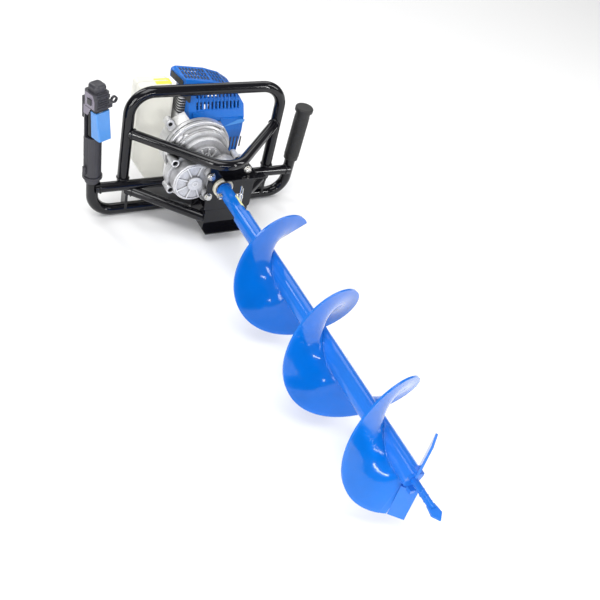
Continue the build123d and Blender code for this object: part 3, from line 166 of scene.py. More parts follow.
BLACK_COAT = finish_of("black_coat", (0.004, 0.004, 0.006), 0.1, coat=0.12, grain=700, depth=0.00003)
BELLY = finish_of("belly_paint", (0.09, 0.092, 0.098), 0.42, grain=500, vary=0.25)
BIT_BLUE = finish_of("bit_enamel", (0.001, 0.14, 0.58), 0.12, coat=0.15, vary=0.12, broad=7, grain=500,
                     depth=0.00003, wear=0.15)
COVER_BLUE = finish_of("cover_plastic", (0.004, 0.14, 0.56), 0.3, coat=0.12, grain=1500, vary=0.06)
TRIGGER_BLUE = finish_of("trigger_plastic", (0.07, 0.25, 0.62), 0.22, coat=0.3, grain=1500)
# The casting gets painted shade in its crevices.
CASTING = finish_of("cast_aluminium", (0.66, 0.66, 0.68), 0.36, metallic=0.72, crevice_shade=0.8, vary=0.16,
                    broad=60, grain=1300, depth=0.00022, round_edge=0.0012, wear=0.5, spread=0.12)
STEEL = finish_of("machined_steel", (0.42, 0.42, 0.44), 0.32, metallic=1.0, vary=0.1, grain=1200)
ZINC = finish_of("bright_zinc", (0.72, 0.71, 0.68), 0.22, metallic=1.0, vary=0.12, broad=120, grain=900)
TANK = finish_of("glowing_tank_plastic", (0.56, 0.55, 0.48), 0.34, vary=0.03, broad=9, grain=1200,
                 round_edge=0.002)
IVORY = finish_of("collar_plastic", (0.70, 0.67, 0.56), 0.35, vary=0.06, grain=1200)
DARK_PLASTIC = finish_of("dark_plastic", (0.035, 0.034, 0.042), 0.4, vary=0.12, grain=1700,
                         depth=0.00008)
BLACK_PLASTIC = finish_of("black_plastic", (0.016, 0.016, 0.017), 0.42, vary=0.15, grain=1600,
                          depth=0.00007)
RUBBER = finish_of("black_rubber", (0.012, 0.012, 0.012), 0.5, vary=0.2, grain=2200, depth=0.0001)
CLEAR_RUBBER = finish_of("primer_rubber", (0.62, 0.60, 0.52), 0.3, vary=0.06)
SWITCH_PLASTIC = finish_of("switch_plastic", (0.03, 0.03, 0.034), 0.25, vary=0.1)
MUFFLER = finish_of("heat_paint", (0.09, 0.09, 0.09), 0.6, metallic=0.3, vary=0.3, broad=40,
                    depth=0.0001)
LABEL = finish_of("yellow_label", (0.85, 0.80, 0.04), 0.35, vary=0.05, round_edge=0)
PALE_LABEL = finish_of("pale_label", (0.80, 0.82, 0.42), 0.4, vary=0.06, round_edge=0)
SIDE_PLASTIC = finish_of("side_plastic", (0.20, 0.18, 0.23), 0.35, vary=0.1, grain=1700, depth=0.00006)
BLACK_OXIDE = finish_of("black_oxide", (0.02, 0.02, 0.022), 0.35, metallic=0.7, vary=0.2, grain=1000)
set_shader(BIT_BLUE, {"Specular IOR Level": 0.32})
set_shader(COVER_BLUE, {"Specular IOR Level": 0.3})
set_shader(BLACK_COAT, {"Specular IOR Level": 0.38})
# Painted light: the tank plastic glows a little by emission, brighter than the lamps alone make it; the tank
# seam shares this glow.
set_shader(TANK, {"Emission Color": (1.0, 1.0, 0.98, 1), "Emission Strength": 0.27,
                  "Subsurface Weight": 0.35, "Subsurface Scale": 0.02,
                  "Subsurface Radius": (1.0, 1.0, 0.95)})

FINISH_OF_SLOT = {
    "frame_black": BLACK_COAT,
    "belly_dark": BELLY,
    "zinc": ZINC,
    "casting": CASTING,
    "steel": STEEL,
    "bit_blue": BIT_BLUE,
    "cover_blue": COVER_BLUE,
    "trigger_blue": TRIGGER_BLUE,
    "tank_white": TANK,
    "collar_ivory": IVORY,
    "dark_plastic": DARK_PLASTIC,
    "switch_dark": SWITCH_PLASTIC,
    "black_plastic": BLACK_PLASTIC,
    "black_rubber": RUBBER,
    "clear_rubber": CLEAR_RUBBER,
    "muffler_grey": MUFFLER,
}
FINISH_OF_NODE = {"gearbox_bolts": BLACK_OXIDE}
for sub in frame["record"]["subparts"]:
    shown = nodes[sub["node"]]
    shown.data.materials.clear()
    shown.data.materials.append(FINISH_OF_NODE.get(sub["node"], FINISH_OF_SLOT[sub["material_slot"]]))
    shown.data.set_sharp_from_angle(angle=math.radians(SHARP_ANGLE))
    for face in shown.data.polygons:
        face.material_index = 0
        face.use_smooth = True


# ---------------------------------------------------------------- places, in millimetres on the row
def across(x, y, z):
    """A place on the row whose own x is the row's X, whose y is the row's Z, looking along -Y."""
    turn = Matrix(((1, 0, 0), (0, 0, -1), (0, 1, 0))).to_4x4()
    return Matrix.Translation(Vector((x, y, z)) * MM) @ turn


def facing(place, normal, up=(0, 0, 1)):
    """A place at a point whose own z looks along normal."""
    z = Vector(normal).normalized()
    x = Vector(up).cross(z)
    if x.length < 1e-4:
        x = Vector((1, 0, 0))
    x.normalize()
    turn = Matrix((x, z.cross(x), z)).transposed().to_4x4()
    return Matrix.Translation(Vector(place) * MM) @ turn


def shifted(place, x=0.0, y=0.0, z=0.0):
    """A place moved along its own axes."""
    return place @ Matrix.Translation(Vector((x, y, z)) * MM)


def out_of_axis(angle):
    """The direction at an angle, in radians, round the drilling axis."""
    return Vector((math.cos(angle), 0, math.sin(angle)))


# ---------------------------------------------------------------- outlines, in millimetres
def rounded_box(width, height, corner, centre=(0, 0), steps=5):
    """Outline of a rectangle with round corners."""
    points = []
    for sx, sy, start in ((1, 1, 0), (-1, 1, 90), (-1, -1, 180), (1, -1, 270)):
        middle = (centre[0] + sx * (width / 2 - corner), centre[1] + sy * (height / 2 - corner))
        for i in range(steps):
            angle = math.radians(start + 90 * i / (steps - 1))
            points.append((middle[0] + corner * math.cos(angle), middle[1] + corner * math.sin(angle)))
    return points


def rounded_outline(points, radius, steps=5):
    """A polygon's outline with each corner rounded by a radius."""
    made = []
    for i, corner in enumerate(points):
        here = Vector(corner)
        before = (Vector(points[i - 1]) - here).normalized()
        after = (Vector(points[(i + 1) % len(points)]) - here).normalized()
        half = before.angle(after) / 2
        cut = radius / math.tan(half)
        centre = here + (before + after).normalized() * (radius / math.sin(half))
        start, end = here + before * cut - centre, here + after * cut - centre
        for k in range(steps + 1):
            made.append(tuple(centre + start.slerp(end, k / steps).normalized() * radius))
    return made


# ---------------------------------------------------------------- meshes
def ring_of(bm, place, points):
    """Vertices at points in millimetres on a place."""
    return [bm.verts.new(place @ (Vector(point) * MM)) for point in points]


def join(bm, here, there):
    """Faces between two rings of vertices with the same count, closed round the rings."""
    for i in range(len(here)):
        after = (i + 1) % len(here)
        bm.faces.new((here[i], here[after], there[after], there[i]))


def add_prism(bm, place, outline, depth, edge=0.0):
    """An outline raised along the place's own z, with its top edge cut back by edge."""
    levels = [(0.0, 0.0), (depth - edge, 0.0), (depth, edge)] if edge else [(0.0, 0.0), (depth, 0.0)]
    middle = Vector((sum(p[0] for p in outline), sum(p[1] for p in outline))) / len(outline)
    rings = []
    for height, inset in levels:
        spots = []
        for point in outline:
            away = Vector(point) - middle
            if inset and away.length > inset:
                away *= (away.length - inset) / away.length
            spots.append((*(middle + away), height))
        rings.append(ring_of(bm, place, spots))
    for low, high in zip(rings, rings[1:]):
        join(bm, low, high)
    bm.faces.new(rings[0])
    bm.faces.new(rings[-1])


def add_box(bm, place, size, edge=0.4):
    """A block centred on the place in x and y and raised along its z."""
    half_x, half_y = size[0] / 2, size[1] / 2
    outline = [(-half_x, -half_y), (half_x, -half_y), (half_x, half_y), (-half_x, half_y)]
    add_prism(bm, place, outline, size[2], min(edge, half_x / 2, half_y / 2, size[2] / 2))


def add_turned(bm, place, profile, count=48, start=0.0, turn=360.0):
    """A profile of (radius, height) pairs turned about the place's own z."""
    closed = turn == 360.0
    steps = count if closed else count - 1
    rings = []
    for i in range(count):
        angle = math.radians(start + turn * i / steps)
        rings.append(ring_of(bm, place, [(r * math.cos(angle), r * math.sin(angle), h) for r, h in profile]))
    for i in range(steps):
        join(bm, rings[i], rings[(i + 1) % count])
    if not closed:
        bm.faces.new(rings[0])
        bm.faces.new(rings[-1])


def add_bead(bm, place, radius, bead, count=64, ripples=26, sides=8):
    """A weld bead: a rippled ring of radius round the place's own z."""
    rings = []
    for i in range(count):
        angle = 2 * math.pi * i / count
        swell = bead * (1 + 0.16 * math.sin(ripples * angle) + 0.08 * math.sin(5 * angle + 1))
        spots = []
        for j in range(sides):
            around = 2 * math.pi * j / sides
            r = radius + swell * math.cos(around)
            spots.append((r * math.cos(angle), r * math.sin(angle), swell * math.sin(around)))
        rings.append(ring_of(bm, place, spots))
    for i in range(count):
        join(bm, rings[i], rings[(i + 1) % count])


def add_rope(bm, stations, sides=8):
    """A bead through stations, each a point on the row, a direction away from the axis and a radius."""
    points = [point for point, _, _ in stations]
    rings = []
    for i, (point, outward, radius) in enumerate(stations):
        ahead = (points[min(i + 1, len(points) - 1)] - points[max(i - 1, 0)]).normalized()
        lift = (outward - ahead * outward.dot(ahead)).normalized()
        wide = ahead.cross(lift)
        spots = []
        for j in range(sides):
            around = 2 * math.pi * j / sides
            spots.append(point + (lift * math.cos(around) + wide * math.sin(around)) * radius)
        rings.append(ring_of(bm, Matrix(), spots))
    for here, there in zip(rings, rings[1:]):
        join(bm, here, there)
    bm.faces.new(rings[0])
    bm.faces.new(rings[-1])


def add_band(bm, place, outline, outside, inside, depth):
    """A raised band along an outline, from inside to outside of it, raised along the place's z."""
    count = len(outline)
    rings = []
    for reach, height in ((-inside, 0), (outside, 0), (outside, depth), (-inside, depth)):
        spots = []
        for i in range(count):
            run = Vector(outline[(i + 1) % count]) - Vector(outline[i - 1])
            side = Vector((run.y, -run.x)).normalized()
            spots.append((*(Vector(outline[i]) + side * reach), height))
        rings.append(ring_of(bm, place, spots))
    for low, high in zip(rings, rings[1:] + rings[:1]):
        join(bm, low, high)


def piece(name, bm, finish, body, sharp=SHARP_ANGLE):
    """Turns a finished bmesh, in metres, into one named piece that rides on a body."""
    bmesh.ops.recalc_face_normals(bm, faces=bm.faces)
    data = bpy.data.meshes.new(name)
    bm.to_mesh(data)
    bm.free()
    data.materials.append(finish)
    for face in data.polygons:
        face.use_smooth = True
    data.set_sharp_from_angle(angle=math.radians(sharp))
    made = bpy.data.objects.new(name, data)
    bpy.context.scene.collection.objects.link(made)
    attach(made, body)


# ---------------------------------------------------------------- welds of the tube frame
BEAD = 1.7
BEAD_ON_BRACE, BEAD_ON_LOOP = 11.4, 12.4
BRACE_SET_BACK, STRUT_SET_BACK = 13.5, 15
beads = bmesh.new()
for side in (-1, 1):
    brace_way = Vector((-side * 0.7238, -0.69, 0))
    brace_end = Vector((side * LOOP_X, LOOP_Y, BRACE_TOP_Z)) + brace_way * BRACE_SET_BACK
    add_bead(beads, facing(brace_end, brace_way), BEAD_ON_BRACE, BEAD)
    strut_way = Vector((-side * 0.8026, -0.5878, -0.1017))
    strut_end = Vector((side * STRUT_FOOT[0], *STRUT_FOOT[1:])) + strut_way * STRUT_SET_BACK
    add_bead(beads, facing(strut_end, strut_way), BEAD_ON_BRACE, BEAD)
    loop_foot = (side * LOOP_X, LOOP_Y - 1, CROSSBAR_Z + CROSSBAR_R)
    add_bead(beads, facing(loop_foot, (0, 0, 1)), BEAD_ON_LOOP, BEAD)
for end_x in (CROSSBAR_LEFT, CROSSBAR_RIGHT):
    add_bead(beads, facing((end_x, CROSSBAR_Y, CROSSBAR_Z), (1, 0, 0)), BEAD_ON_BRACE, BEAD)
piece("weld_beads", beads, BLACK_COAT, "frame", sharp=60)

# ---------------------------------------------------------------- right grip
RIGHT_LEAN = Vector((RIGHT_SLOPE, 0, 1)).normalized()
RIB_STEP = 5.2
RIBS = 20
LOWEST_RIB_Z = -20
RIB_PROFILE = [(16.3, -1.5), (17.1, -1.1), (17.3, 0), (17.1, 1.1), (16.3, 1.5)]
ribs = bmesh.new()
for i in range(RIBS):
    height = LOWEST_RIB_Z + i * RIB_STEP
    middle = (RIGHT_GRIP_X + RIGHT_SLOPE * (height - GRIP_FOOT_Z), GRIP_Y, height)
    add_turned(ribs, facing(middle, RIGHT_LEAN, (0, 1, 0)), RIB_PROFILE, 40)
piece("rubber_grip_ribs", ribs, RUBBER, "frame")

# ---------------------------------------------------------------- left grip and throttle
LEFT_LEAN = Vector((LEFT_SLOPE, 0, 1)).normalized()
grip_x = Vector((math.cos(math.radians(THROTTLE_TURN)), math.sin(math.radians(THROTTLE_TURN)), 0))
grip_x = (grip_x - LEFT_LEAN * grip_x.dot(LEFT_LEAN)).normalized()
grip_y = LEFT_LEAN.cross(grip_x)
LEFT_GRIP_AXES = {
    "up": (grip_x, grip_y, LEFT_LEAN),
    "front": (grip_x, LEFT_LEAN, -grip_y),
    "left": (-grip_y, LEFT_LEAN, -grip_x),
    "right": (grip_y, LEFT_LEAN, grip_x),
}


def on_left_grip(height, right=0.0, back=0.0, normal="up"):
    """A place beside the left tube; its own z looks up, to the front (the trigger's side), left or right."""
    middle = Vector((LEFT_GRIP_X + LEFT_SLOPE * (height - GRIP_FOOT_Z), GRIP_Y, height))
    turn = Matrix(LEFT_GRIP_AXES[normal]).transposed().to_4x4()
    return Matrix.Translation((middle + grip_x * right + grip_y * back) * MM) @ turn


UPPER_PANEL = [(-13, -16), (15, -16), (15, 2), (9, 14), (-13, 14)]
LOWER_PANEL = [(-9, -14), (3, -14), (13, 5), (-9, 5)]
panel = bmesh.new()
add_prism(panel, on_left_grip(160, -HOUSING_SIDE, -11, "left"), UPPER_PANEL, 0.35, 0.15)
add_prism(panel, on_left_grip(138, -17.2, -2, "left"), LOWER_PANEL, 0.7, 0.3)
piece("throttle_side_panel", panel, SIDE_PLASTIC, "frame")

FRONT_BARS = ((147, 30, 2.2), (153, 26, 1.6), (158, 26, 1.6), (163, 26, 1.6), (171, 30, 2.4))
HOUSING_SCREW = [(0.4, 0), (3.4, 0), (3.4, 1.8), (2.9, 2.3), (1.6, 2.3), (1.4, 1.0), (0.4, 0.8)]
TOP_RING = [(0.5, -0.6), (8, -0.6), (8, 0.1), (7, 0.42), (4.6, 0.42), (4.2, -0.1), (0.5, -0.1)]
trim = bmesh.new()
for height, width, tall in FRONT_BARS:
    add_box(trim, on_left_grip(height, 1, HOUSING_FRONT, "front"), (width, tall, 1.6))
add_box(trim, on_left_grip(176.2, 1, -24), (22, 5, 1.8))
for height, right in ((149, 12), (168, 12), (168, -11)):
    add_turned(trim, on_left_grip(height, right, HOUSING_FRONT, "front"), HOUSING_SCREW, 24)
add_turned(trim, on_left_grip(HOUSING_TOP, 1, -10), TOP_RING, 36)
for height, back in ((150, -10), (164, -14)):
    add_box(trim, on_left_grip(height, HOUSING_SIDE, back, "right"), (10, 6, 1.2))
piece("throttle_housing_trim", trim, DARK_PLASTIC, "frame")

FLUTES = 28
FLUTE_OUTLINE = [(-0.9, 0), (0.9, 0), (0.9, 84), (-0.9, 84)]
SLEEVE_R = 17.2
SLEEVE_FOOT_Z = -18
SLEEVE_RING = [(19.6, -1), (20.6, -0.6), (20.6, 0.6), (19.6, 1)]
flutes = bmesh.new()
sleeve_foot = on_left_grip(SLEEVE_FOOT_Z).translation
for i in range(FLUTES):
    angle = math.radians(i * 360 / FLUTES)
    side_way = grip_x * math.cos(angle) + grip_y * math.sin(angle)
    turn = Matrix((side_way.cross(LEFT_LEAN), LEFT_LEAN, side_way)).transposed().to_4x4()
    flute_foot = Matrix.Translation(sleeve_foot + side_way * SLEEVE_R * MM)
    add_prism(flutes, flute_foot @ turn, FLUTE_OUTLINE, 0.8, 0.35)
for height in (-30, -26):
    add_turned(flutes, on_left_grip(height), SLEEVE_RING, 40)
piece("throttle_grip_flutes", flutes, DARK_PLASTIC, "frame")

seat = bmesh.new()
add_prism(seat, on_left_grip(137.7, 0, -19), rounded_box(31, 17, 3), 4.5, 0.5)
piece("trigger_seat", seat, BLACK_PLASTIC, "frame")

# ---------------------------------------------------------------- gearbox casting
DISC_FACE_Y, DISC_HUB_Y = 19.3, 13.2
DOME_FACE_Y = 36.3
EAR_FACE_Y = 34.2
EARS = ((-98, 45), (-101, -20), (-30, 57), (40, 42), (41, -41), (-41, -41))
casting = bmesh.new()


def add_rib(centre, face_y, angle, near, far, width, proud):
    """A straight casting rib on a face that looks along -Y, running outward from a centre."""
    turned = across(centre[0], face_y, centre[1]) @ Matrix.Rotation(math.radians(angle), 4, "Z")
    outline = [(near, -width / 2), (far, -width / 2), (far, width / 2), (near, width / 2)]
    add_prism(casting, turned, outline, proud, 0.8)


for angle in (72, 118, 160, 205, 250, 292):
    add_rib(IDLER, DISC_FACE_Y, angle, 15, 42, 3.4, 2.6)
add_turned(casting, across(IDLER[0], DISC_FACE_Y, IDLER[1]),
           [(38.6, 0), (41.6, 0), (41.6, 1.6), (40.9, 2.2), (38.6, 2.2)], 72, 60, 245)
add_turned(casting, across(IDLER[0], DISC_HUB_Y, IDLER[1]), [(3.0, 0), (7.5, 0), (7.2, 1.0), (3.3, 1.0)], 36)
for angle in (25, 55, 85, 115):
    add_rib(CRANK, DOME_FACE_Y, angle, 9, 34, 4.2, 3.4)
add_turned(casting, across(CRANK[0], DOME_FACE_Y, CRANK[1]),
           [(6, 0), (12.5, 0), (12, 3), (11, 3.8), (6, 3.8)], 40, -20, 175)
for x, z in EARS:
    add_turned(casting, across(x, EAR_FACE_Y, z), [(6.1, 0), (8.3, 0), (8.0, 0.9), (6.4, 0.9)], 32)
piece("gearbox_ribs", casting, CASTING, "frame", sharp=40)

# ---------------------------------------------------------------- clutch housing
RIM_Y = 78
FLANGE_BOSSES = ((-66, 83), (0, 84))
TOP_BOSS, TOP_BOSS_Y = (-95, 102), 96
rim = bmesh.new()
add_turned(rim, across(CRANK[0], RIM_Y, CRANK[1]),
           [(66.9, 0), (74.2, 0), (74.2, 7), (73.2, 8), (68.4, 8), (66.9, 6)], 72, 52, 128)
for x, z in FLANGE_BOSSES:
    add_turned(rim, across(x, RIM_Y - 2, z),
               [(4.0, 0), (8.6, 0), (8.6, 11), (7.8, 12), (4.6, 12), (4.0, 11)], 36)
add_turned(rim, across(TOP_BOSS[0], TOP_BOSS_Y, TOP_BOSS[1]),
           [(3.8, 0), (8.8, 0), (8.8, 5), (8.0, 6), (4.6, 6), (3.8, 5)], 36)
piece("clutch_housing_rim", rim, CASTING, "frame", sharp=40)

SOCKET_SCREW = [(1.2, 0), (3.9, 0), (3.9, 5.4), (3.4, 6), (1.9, 6), (1.7, 4.4), (1.2, 4.2)]
screws = bmesh.new()
for x, z in FLANGE_BOSSES:
    add_turned(screws, across(x, RIM_Y - 4, z), SOCKET_SCREW, 24)
add_turned(screws, across(TOP_BOSS[0], TOP_BOSS_Y - 1, TOP_BOSS[1]), SOCKET_SCREW, 24)
piece("housing_screws", screws, BLACK_OXIDE, "frame")

# ---------------------------------------------------------------- engine cover
VENT_RISE = Vector((0, -0.927, 0.374))
VENT_STEP = 8.5
louvres = bmesh.new()
front = facing((22, 128.5, 125), VENT_RISE)
for i in range(-5, 6):
    add_prism(louvres, shifted(front, x=i * VENT_STEP), [(-1.5, -16), (1.5, -16), (1.5, 26), (-1.5, 26)],
              1.5, 0.6)
for low in (-18, 27):
    add_prism(louvres, front, [(-48, low), (50, low), (50, low + 2), (-48, low + 2)], 1.3, 0.5)

TOP_LINE = [(-50, 168), (12, 161), (48, 150), (70, 136)]
TOP_MIDDLE_Y = 177
SLOT_STEP = 7.6
SLOT_ROWS = (-15.5, 0, 15.5)
BESIDE_SLOT = [(-0.9, -6.4), (0.9, -6.4), (0.9, 6.4), (-0.9, 6.4)]
# Black inlays over the cover top where the vent slots are: painted shade for the dark inside of the slots.
slots = bmesh.new()
for (x0, z0), (x1, z1) in zip(TOP_LINE, TOP_LINE[1:]):
    run = Vector((x1 - x0, 0, z1 - z0))
    along = run.normalized()
    normal = Vector((z0 - z1, 0, x1 - x0)).normalized()
    middle = Vector(((x0 + x1) / 2, TOP_MIDDLE_Y, (z0 + z1) / 2))
    turn = Matrix((along, normal.cross(along), normal)).transposed().to_4x4()
    flat = Matrix.Translation(middle * MM) @ turn
    half = run.length / 2 - 2
    count = max(2, round(2 * half / SLOT_STEP))
    for row in SLOT_ROWS:
        for i in range(count):
            spot = shifted(flat, x=-half + (i + 0.5) * 2 * half / count, y=row)
            add_prism(slots, spot, rounded_box(3.6, 12, 1.6), 0.35)
            add_prism(louvres, shifted(spot, x=3.1), BESIDE_SLOT, 1.2, 0.4)
piece("cover_vent_shade", slots, BLACK_PLASTIC, "frame")
add_prism(louvres, facing((-22, COVER_STEP_Y + 2.6, 102.25), VENT_RISE), rounded_box(28, 11.5, 3), 1.6, 0.8)
add_prism(louvres, facing((52, COVER_STEP_Y, 77), (0, -1, 0)), rounded_box(48, 30, 3), 1.6, 0.8)
piece("cover_louvres", louvres, COVER_BLUE, "frame")

# A raised lip on the cover's front shoulder, in the lighter trigger blue: a painted highlight on the cover.
LIP_OUTLINE = [(-27, -9), (-20, -10.5), (24, 4), (27, 10), (20, 11), (-22, -3)]
lip = bmesh.new()
add_prism(lip, facing((58, COVER_STEP_Y + 0.2, 78), (-0.25, -0.8, 0.55)), LIP_OUTLINE, 3.2, 1.2)
piece("cover_lip_painted_highlight", lip, TRIGGER_BLUE, "frame")

# Black inlays on the cover's lower right: painted shade for the dark inside of its slots.
lower_slots = bmesh.new()
for i in range(4):
    add_prism(lower_slots, across(61 + i * 8, COVER_STEP_Y + 0.1, 18), rounded_box(3.4, 26, 1.5, (0, 12)),
              0.35)
piece("cover_lower_shade", lower_slots, BLACK_PLASTIC, "frame")

FLANK_NORMAL = Vector((-0.983, -0.186, 0))
flank = bmesh.new()
add_prism(flank, facing((-54.3, 178, 154), FLANK_NORMAL), rounded_box(48, 14, 3), 0.9, 0.4)
add_prism(flank, facing((-46.5, 137, 140), FLANK_NORMAL), rounded_box(30, 26, 4), 0.7, 0.4)
piece("cover_side_band", flank, BLACK_PLASTIC, "frame")

# ---------------------------------------------------------------- blank labels
sticker = bmesh.new()
sticker_place = Matrix.Translation(Vector((-86, 176, TANK_TOP - 0.1)) * MM)
add_prism(sticker, sticker_place, rounded_box(34, 22, 1.5), 0.35)
piece("tank_label", sticker, LABEL, "frame")

WRAP_INNER, WRAP_OUTER = SOCKET_R + 0.3, SOCKET_R + 0.85
WRAP_FIRST_Y, WRAP_LENGTH = -50, 32
wrap = bmesh.new()
add_turned(wrap, across(0, WRAP_FIRST_Y, 0),
           [(WRAP_INNER, 0), (WRAP_OUTER, 0), (WRAP_OUTER, WRAP_LENGTH), (WRAP_INNER, WRAP_LENGTH)],
           11, 34, 40)
piece("bit_label", wrap, PALE_LABEL, "bit")

# ---------------------------------------------------------------- welds along the foot of the flight
WELD_FIRST_Y, WELD_LAST_Y = -208, -756
WELD_STEP = 1.6
WELD_R = BIT_TUBE_R + 0.2
WELD_BEAD = 1.45
BESIDE_FLIGHT = 9.5
# The flight stands at about -12 degrees, from +X towards +Z, at this place on the axis.
MARK_Y, MARK_ANGLE = -599, -12
welds = bmesh.new()
for side in (-1, 1):
    stations = []
    for i in range(int((WELD_FIRST_Y - WELD_LAST_Y) / WELD_STEP)):
        y = WELD_FIRST_Y - i * WELD_STEP
        way = out_of_axis(math.radians(MARK_ANGLE + (MARK_Y - y) * 360 / FLIGHT_PITCH + side * BESIDE_FLIGHT))
        swell = WELD_BEAD + 0.22 * math.sin(i * 1.25) + 0.12 * math.sin(i * 0.31)
        stations.append((way * WELD_R + Vector((0, y, 0)), way, swell))
    add_rope(welds, stations)
piece("flight_welds", welds, BIT_BLUE, "bit", sharp=60)

# ---------------------------------------------------------------- toe between the flight and the lower blade
RISE = FLIGHT_PITCH / (2 * math.pi)
TOE_RADII = (18.4, 30, 45, 60, 80, 99.4)
TOE_STEPS = 4
TOE_TURN = 7.5
TOE_OVERLAP = 0.5
HALF_PLATE = 2.0
toe = bmesh.new()
toe_rings = []
for i in range(TOE_STEPS + 1):
    angle = math.radians(FLIGHT_LAST_ANGLE - TOE_OVERLAP + TOE_TURN * i / TOE_STEPS)
    way = out_of_axis(angle)
    faces = []
    for offset in (-HALF_PLATE, HALF_PLATE):
        spots = []
        for radius in TOE_RADII:
            along = Vector((-radius * math.sin(angle), -RISE, radius * math.cos(angle)))
            middle = way * radius + Vector((0, FLIGHT_ZERO_Y - RISE * angle, 0))
            spots.append(middle + way.cross(along).normalized() * offset)
        faces.append(spots)
    toe_rings.append(ring_of(toe, Matrix(), faces[0] + faces[1][::-1]))
for here, there in zip(toe_rings, toe_rings[1:]):
    join(toe, here, there)
for ring in (toe_rings[0], toe_rings[-1]):
    for j in range(len(TOE_RADII) - 1):
        toe.faces.new((ring[j], ring[j + 1], ring[-j - 2], ring[-j - 1]))
piece("flight_toe", toe, BIT_BLUE, "bit", sharp=40)

# ---------------------------------------------------------------- pilot thread and socket rings
THREAD_STEPS = 72
THREAD_STEP_TURN, THREAD_STEP_Y = 15, 0.47
THREAD_FIRST_Y = -790
THREAD_R, THREAD_TAPER = 5.9, 0.9
THREAD_BEAD = 1.3
stations = []
for i in range(THREAD_STEPS + 1):
    way = out_of_axis(math.radians(i * THREAD_STEP_TURN))
    middle = way * (THREAD_R - THREAD_TAPER * i / THREAD_STEPS)
    middle += Vector((0, THREAD_FIRST_Y - i * THREAD_STEP_Y, 0))
    run_out = min(1, i / 6 + 0.2, (THREAD_STEPS - i) / 6 + 0.2)
    stations.append((middle, way, THREAD_BEAD * run_out))
thread = bmesh.new()
add_rope(thread, stations)
piece("pilot_thread", thread, BIT_BLUE, "bit", sharp=60)

rings = bmesh.new()
add_turned(rings, across(0, SOCKET_FRONT - 0.4, 0),
           [(15.2, 0), (16.6, 0), (16.8, 0.5), (16.6, 1.0), (15.2, 1.0)], 60)
add_bead(rings, facing((0, SOCKET_STEP, 0), (0, 1, 0)), 17.6, 0.8, 64, 20)
piece("socket_rings", rings, BIT_BLUE, "bit", sharp=60)

# ---------------------------------------------------------------- plate washers, tank seam, starter rings
washers = bmesh.new()
for x, z in PLATE_BOLTS:
    add_turned(washers, across(x, -0.1, z), [(6.2, 0), (8.6, 0), (8.6, 1.1), (8.1, 1.5), (6.2, 1.5)], 36)
    add_turned(washers, across(x, -5.8, z), [(0.3, 0), (4.9, 0), (4.5, 0.6), (0.3, 0.8)], 30)
piece("plate_washers", washers, ZINC, "frame")

TANK_OUTLINE = [
    (TANK_LEFT, TANK_BOTTOM + TANK_CHAMFER[1]),
    (TANK_LEFT + TANK_CHAMFER[0], TANK_BOTTOM),
    (TANK_RIGHT, TANK_BOTTOM),
    (TANK_RIGHT, TANK_TOP),
    (TANK_LEFT, TANK_TOP),
]
seam = bmesh.new()
add_band(seam, across(0, 180, 0), rounded_outline(TANK_OUTLINE, 12), 0.9, 1.0, 3.2)
piece("tank_seam", seam, TANK, "frame")

STARTER_RINGS = (45.5, 21.5)
starter = bmesh.new()
for radius in STARTER_RINGS:
    add_turned(starter, facing((CRANK[0], STARTER_BACK, CRANK[1]), (0, 1, 0)),
               [(radius - 1.2, 0), (radius + 1.2, 0), (radius + 0.7, 0.38), (radius - 0.7, 0.38)], 64)
piece("starter_rings", starter, BLACK_PLASTIC, "frame")

# ---------------------------------------------------------------- camera, in metres
camera_data = bpy.data.cameras.new("camera")
camera_data.lens = 51.29
camera_data.sensor_width = 36
camera_data.clip_start = 0.05
camera_data.clip_end = 60
camera = bpy.data.objects.new("camera", camera_data)
bpy.context.scene.collection.objects.link(camera)
look = Matrix(((0.871, 0.1583, -0.465), (-0.4406, 0.6703, -0.5972), (0.2172, 0.7251, 0.6536))).to_4x4()
camera.matrix_world = Matrix.Translation((-0.72804, -1.29768, 1.03267)) @ look
bpy.context.scene.camera = camera

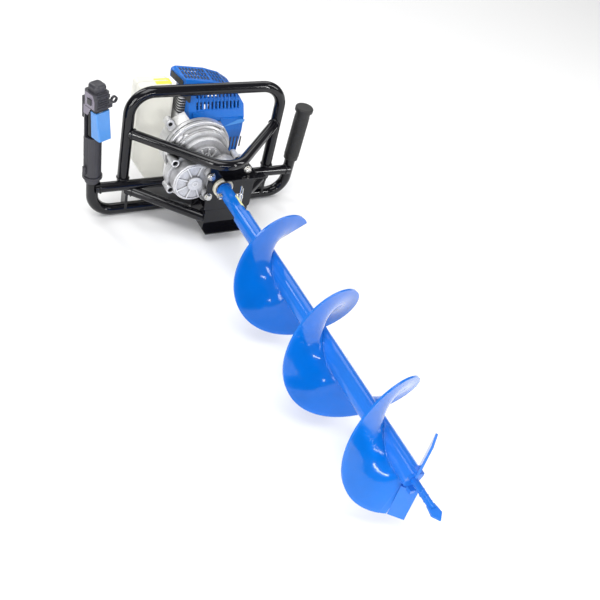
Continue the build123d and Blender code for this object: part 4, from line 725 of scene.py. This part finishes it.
# ---------------------------------------------------------------- lights, in metres and watts
bpy.context.scene.view_settings.view_transform = "Standard"
world = bpy.data.worlds.new("studio")
bpy.context.scene.world = world
world.use_nodes = True
world.node_tree.nodes["Background"].inputs["Color"].default_value = (1, 1, 1, 1)
world.node_tree.nodes["Background"].inputs["Strength"].default_value = 0.2


def soft_light(name, place, target, size, power):
    """A rectangular light at a place that faces the target."""
    data = bpy.data.lights.new(name, "AREA")
    data.shape = "RECTANGLE"
    data.size = size[0]
    data.size_y = size[1]
    data.energy = power
    lamp = bpy.data.objects.new(name, data)
    lamp.location = place
    lamp.rotation_mode = "QUATERNION"
    lamp.rotation_quaternion = (Vector(target) - Vector(place)).to_track_quat("-Z", "Y")
    bpy.context.scene.collection.objects.link(lamp)


soft_light("key", (-0.5, -0.5, 2.6), (0, -0.2, 0), (1.8, 1.8), 44)
soft_light("side", (2.2, -1.0, 1.4), (0, -0.2, 0), (0.4, 1.8), 22)
soft_light("front", (-1.9, -1.5, 0.8), (-0.1, 0.1, 0.05), (0.5, 1.2), 18)
soft_light("back", (-0.9, 1.8, 1.6), (0, 0.1, 0.1), (0.6, 1.6), 20)
soft_light("far_floor", (2.4, 3.6, 3.4), (2.2, 3.4, 0), (4, 4), 100)
soft_light("low_strip", (-0.2, -2.6, 0.55), (0, 0.1, 0.05), (1.8, 0.10), 18)
soft_light("left_strip", (-2.3, -0.9, 0.8), (0, 0.1, 0.05), (0.10, 1.6), 14)
soft_light("right_strip", (1.5, -2.1, 0.8), (0, 0.1, 0.05), (0.10, 1.6), 14)

# ---------------------------------------------------------------- floor, in metres
FLOOR_HALF = 25
FLOOR_GAP = 0.0002
floor_z = cad_box[0].z - FLOOR_GAP
floor_bm = bmesh.new()
for side_x, side_y in ((-1, -1), (1, -1), (1, 1), (-1, 1)):
    floor_bm.verts.new((side_x * FLOOR_HALF, side_y * FLOOR_HALF, floor_z))
floor_bm.faces.new(list(floor_bm.verts))
floor_data = bpy.data.meshes.new("floor")
floor_bm.to_mesh(floor_data)
floor_bm.free()
floor = bpy.data.objects.new("floor", floor_data)
floor_data.materials.append(finish_of("paper", (0.93, 0.93, 0.93), 0.9, vary=0.003, broad=1.0, round_edge=0,
                                      depth=0.00001))
bpy.context.scene.collection.objects.link(floor)
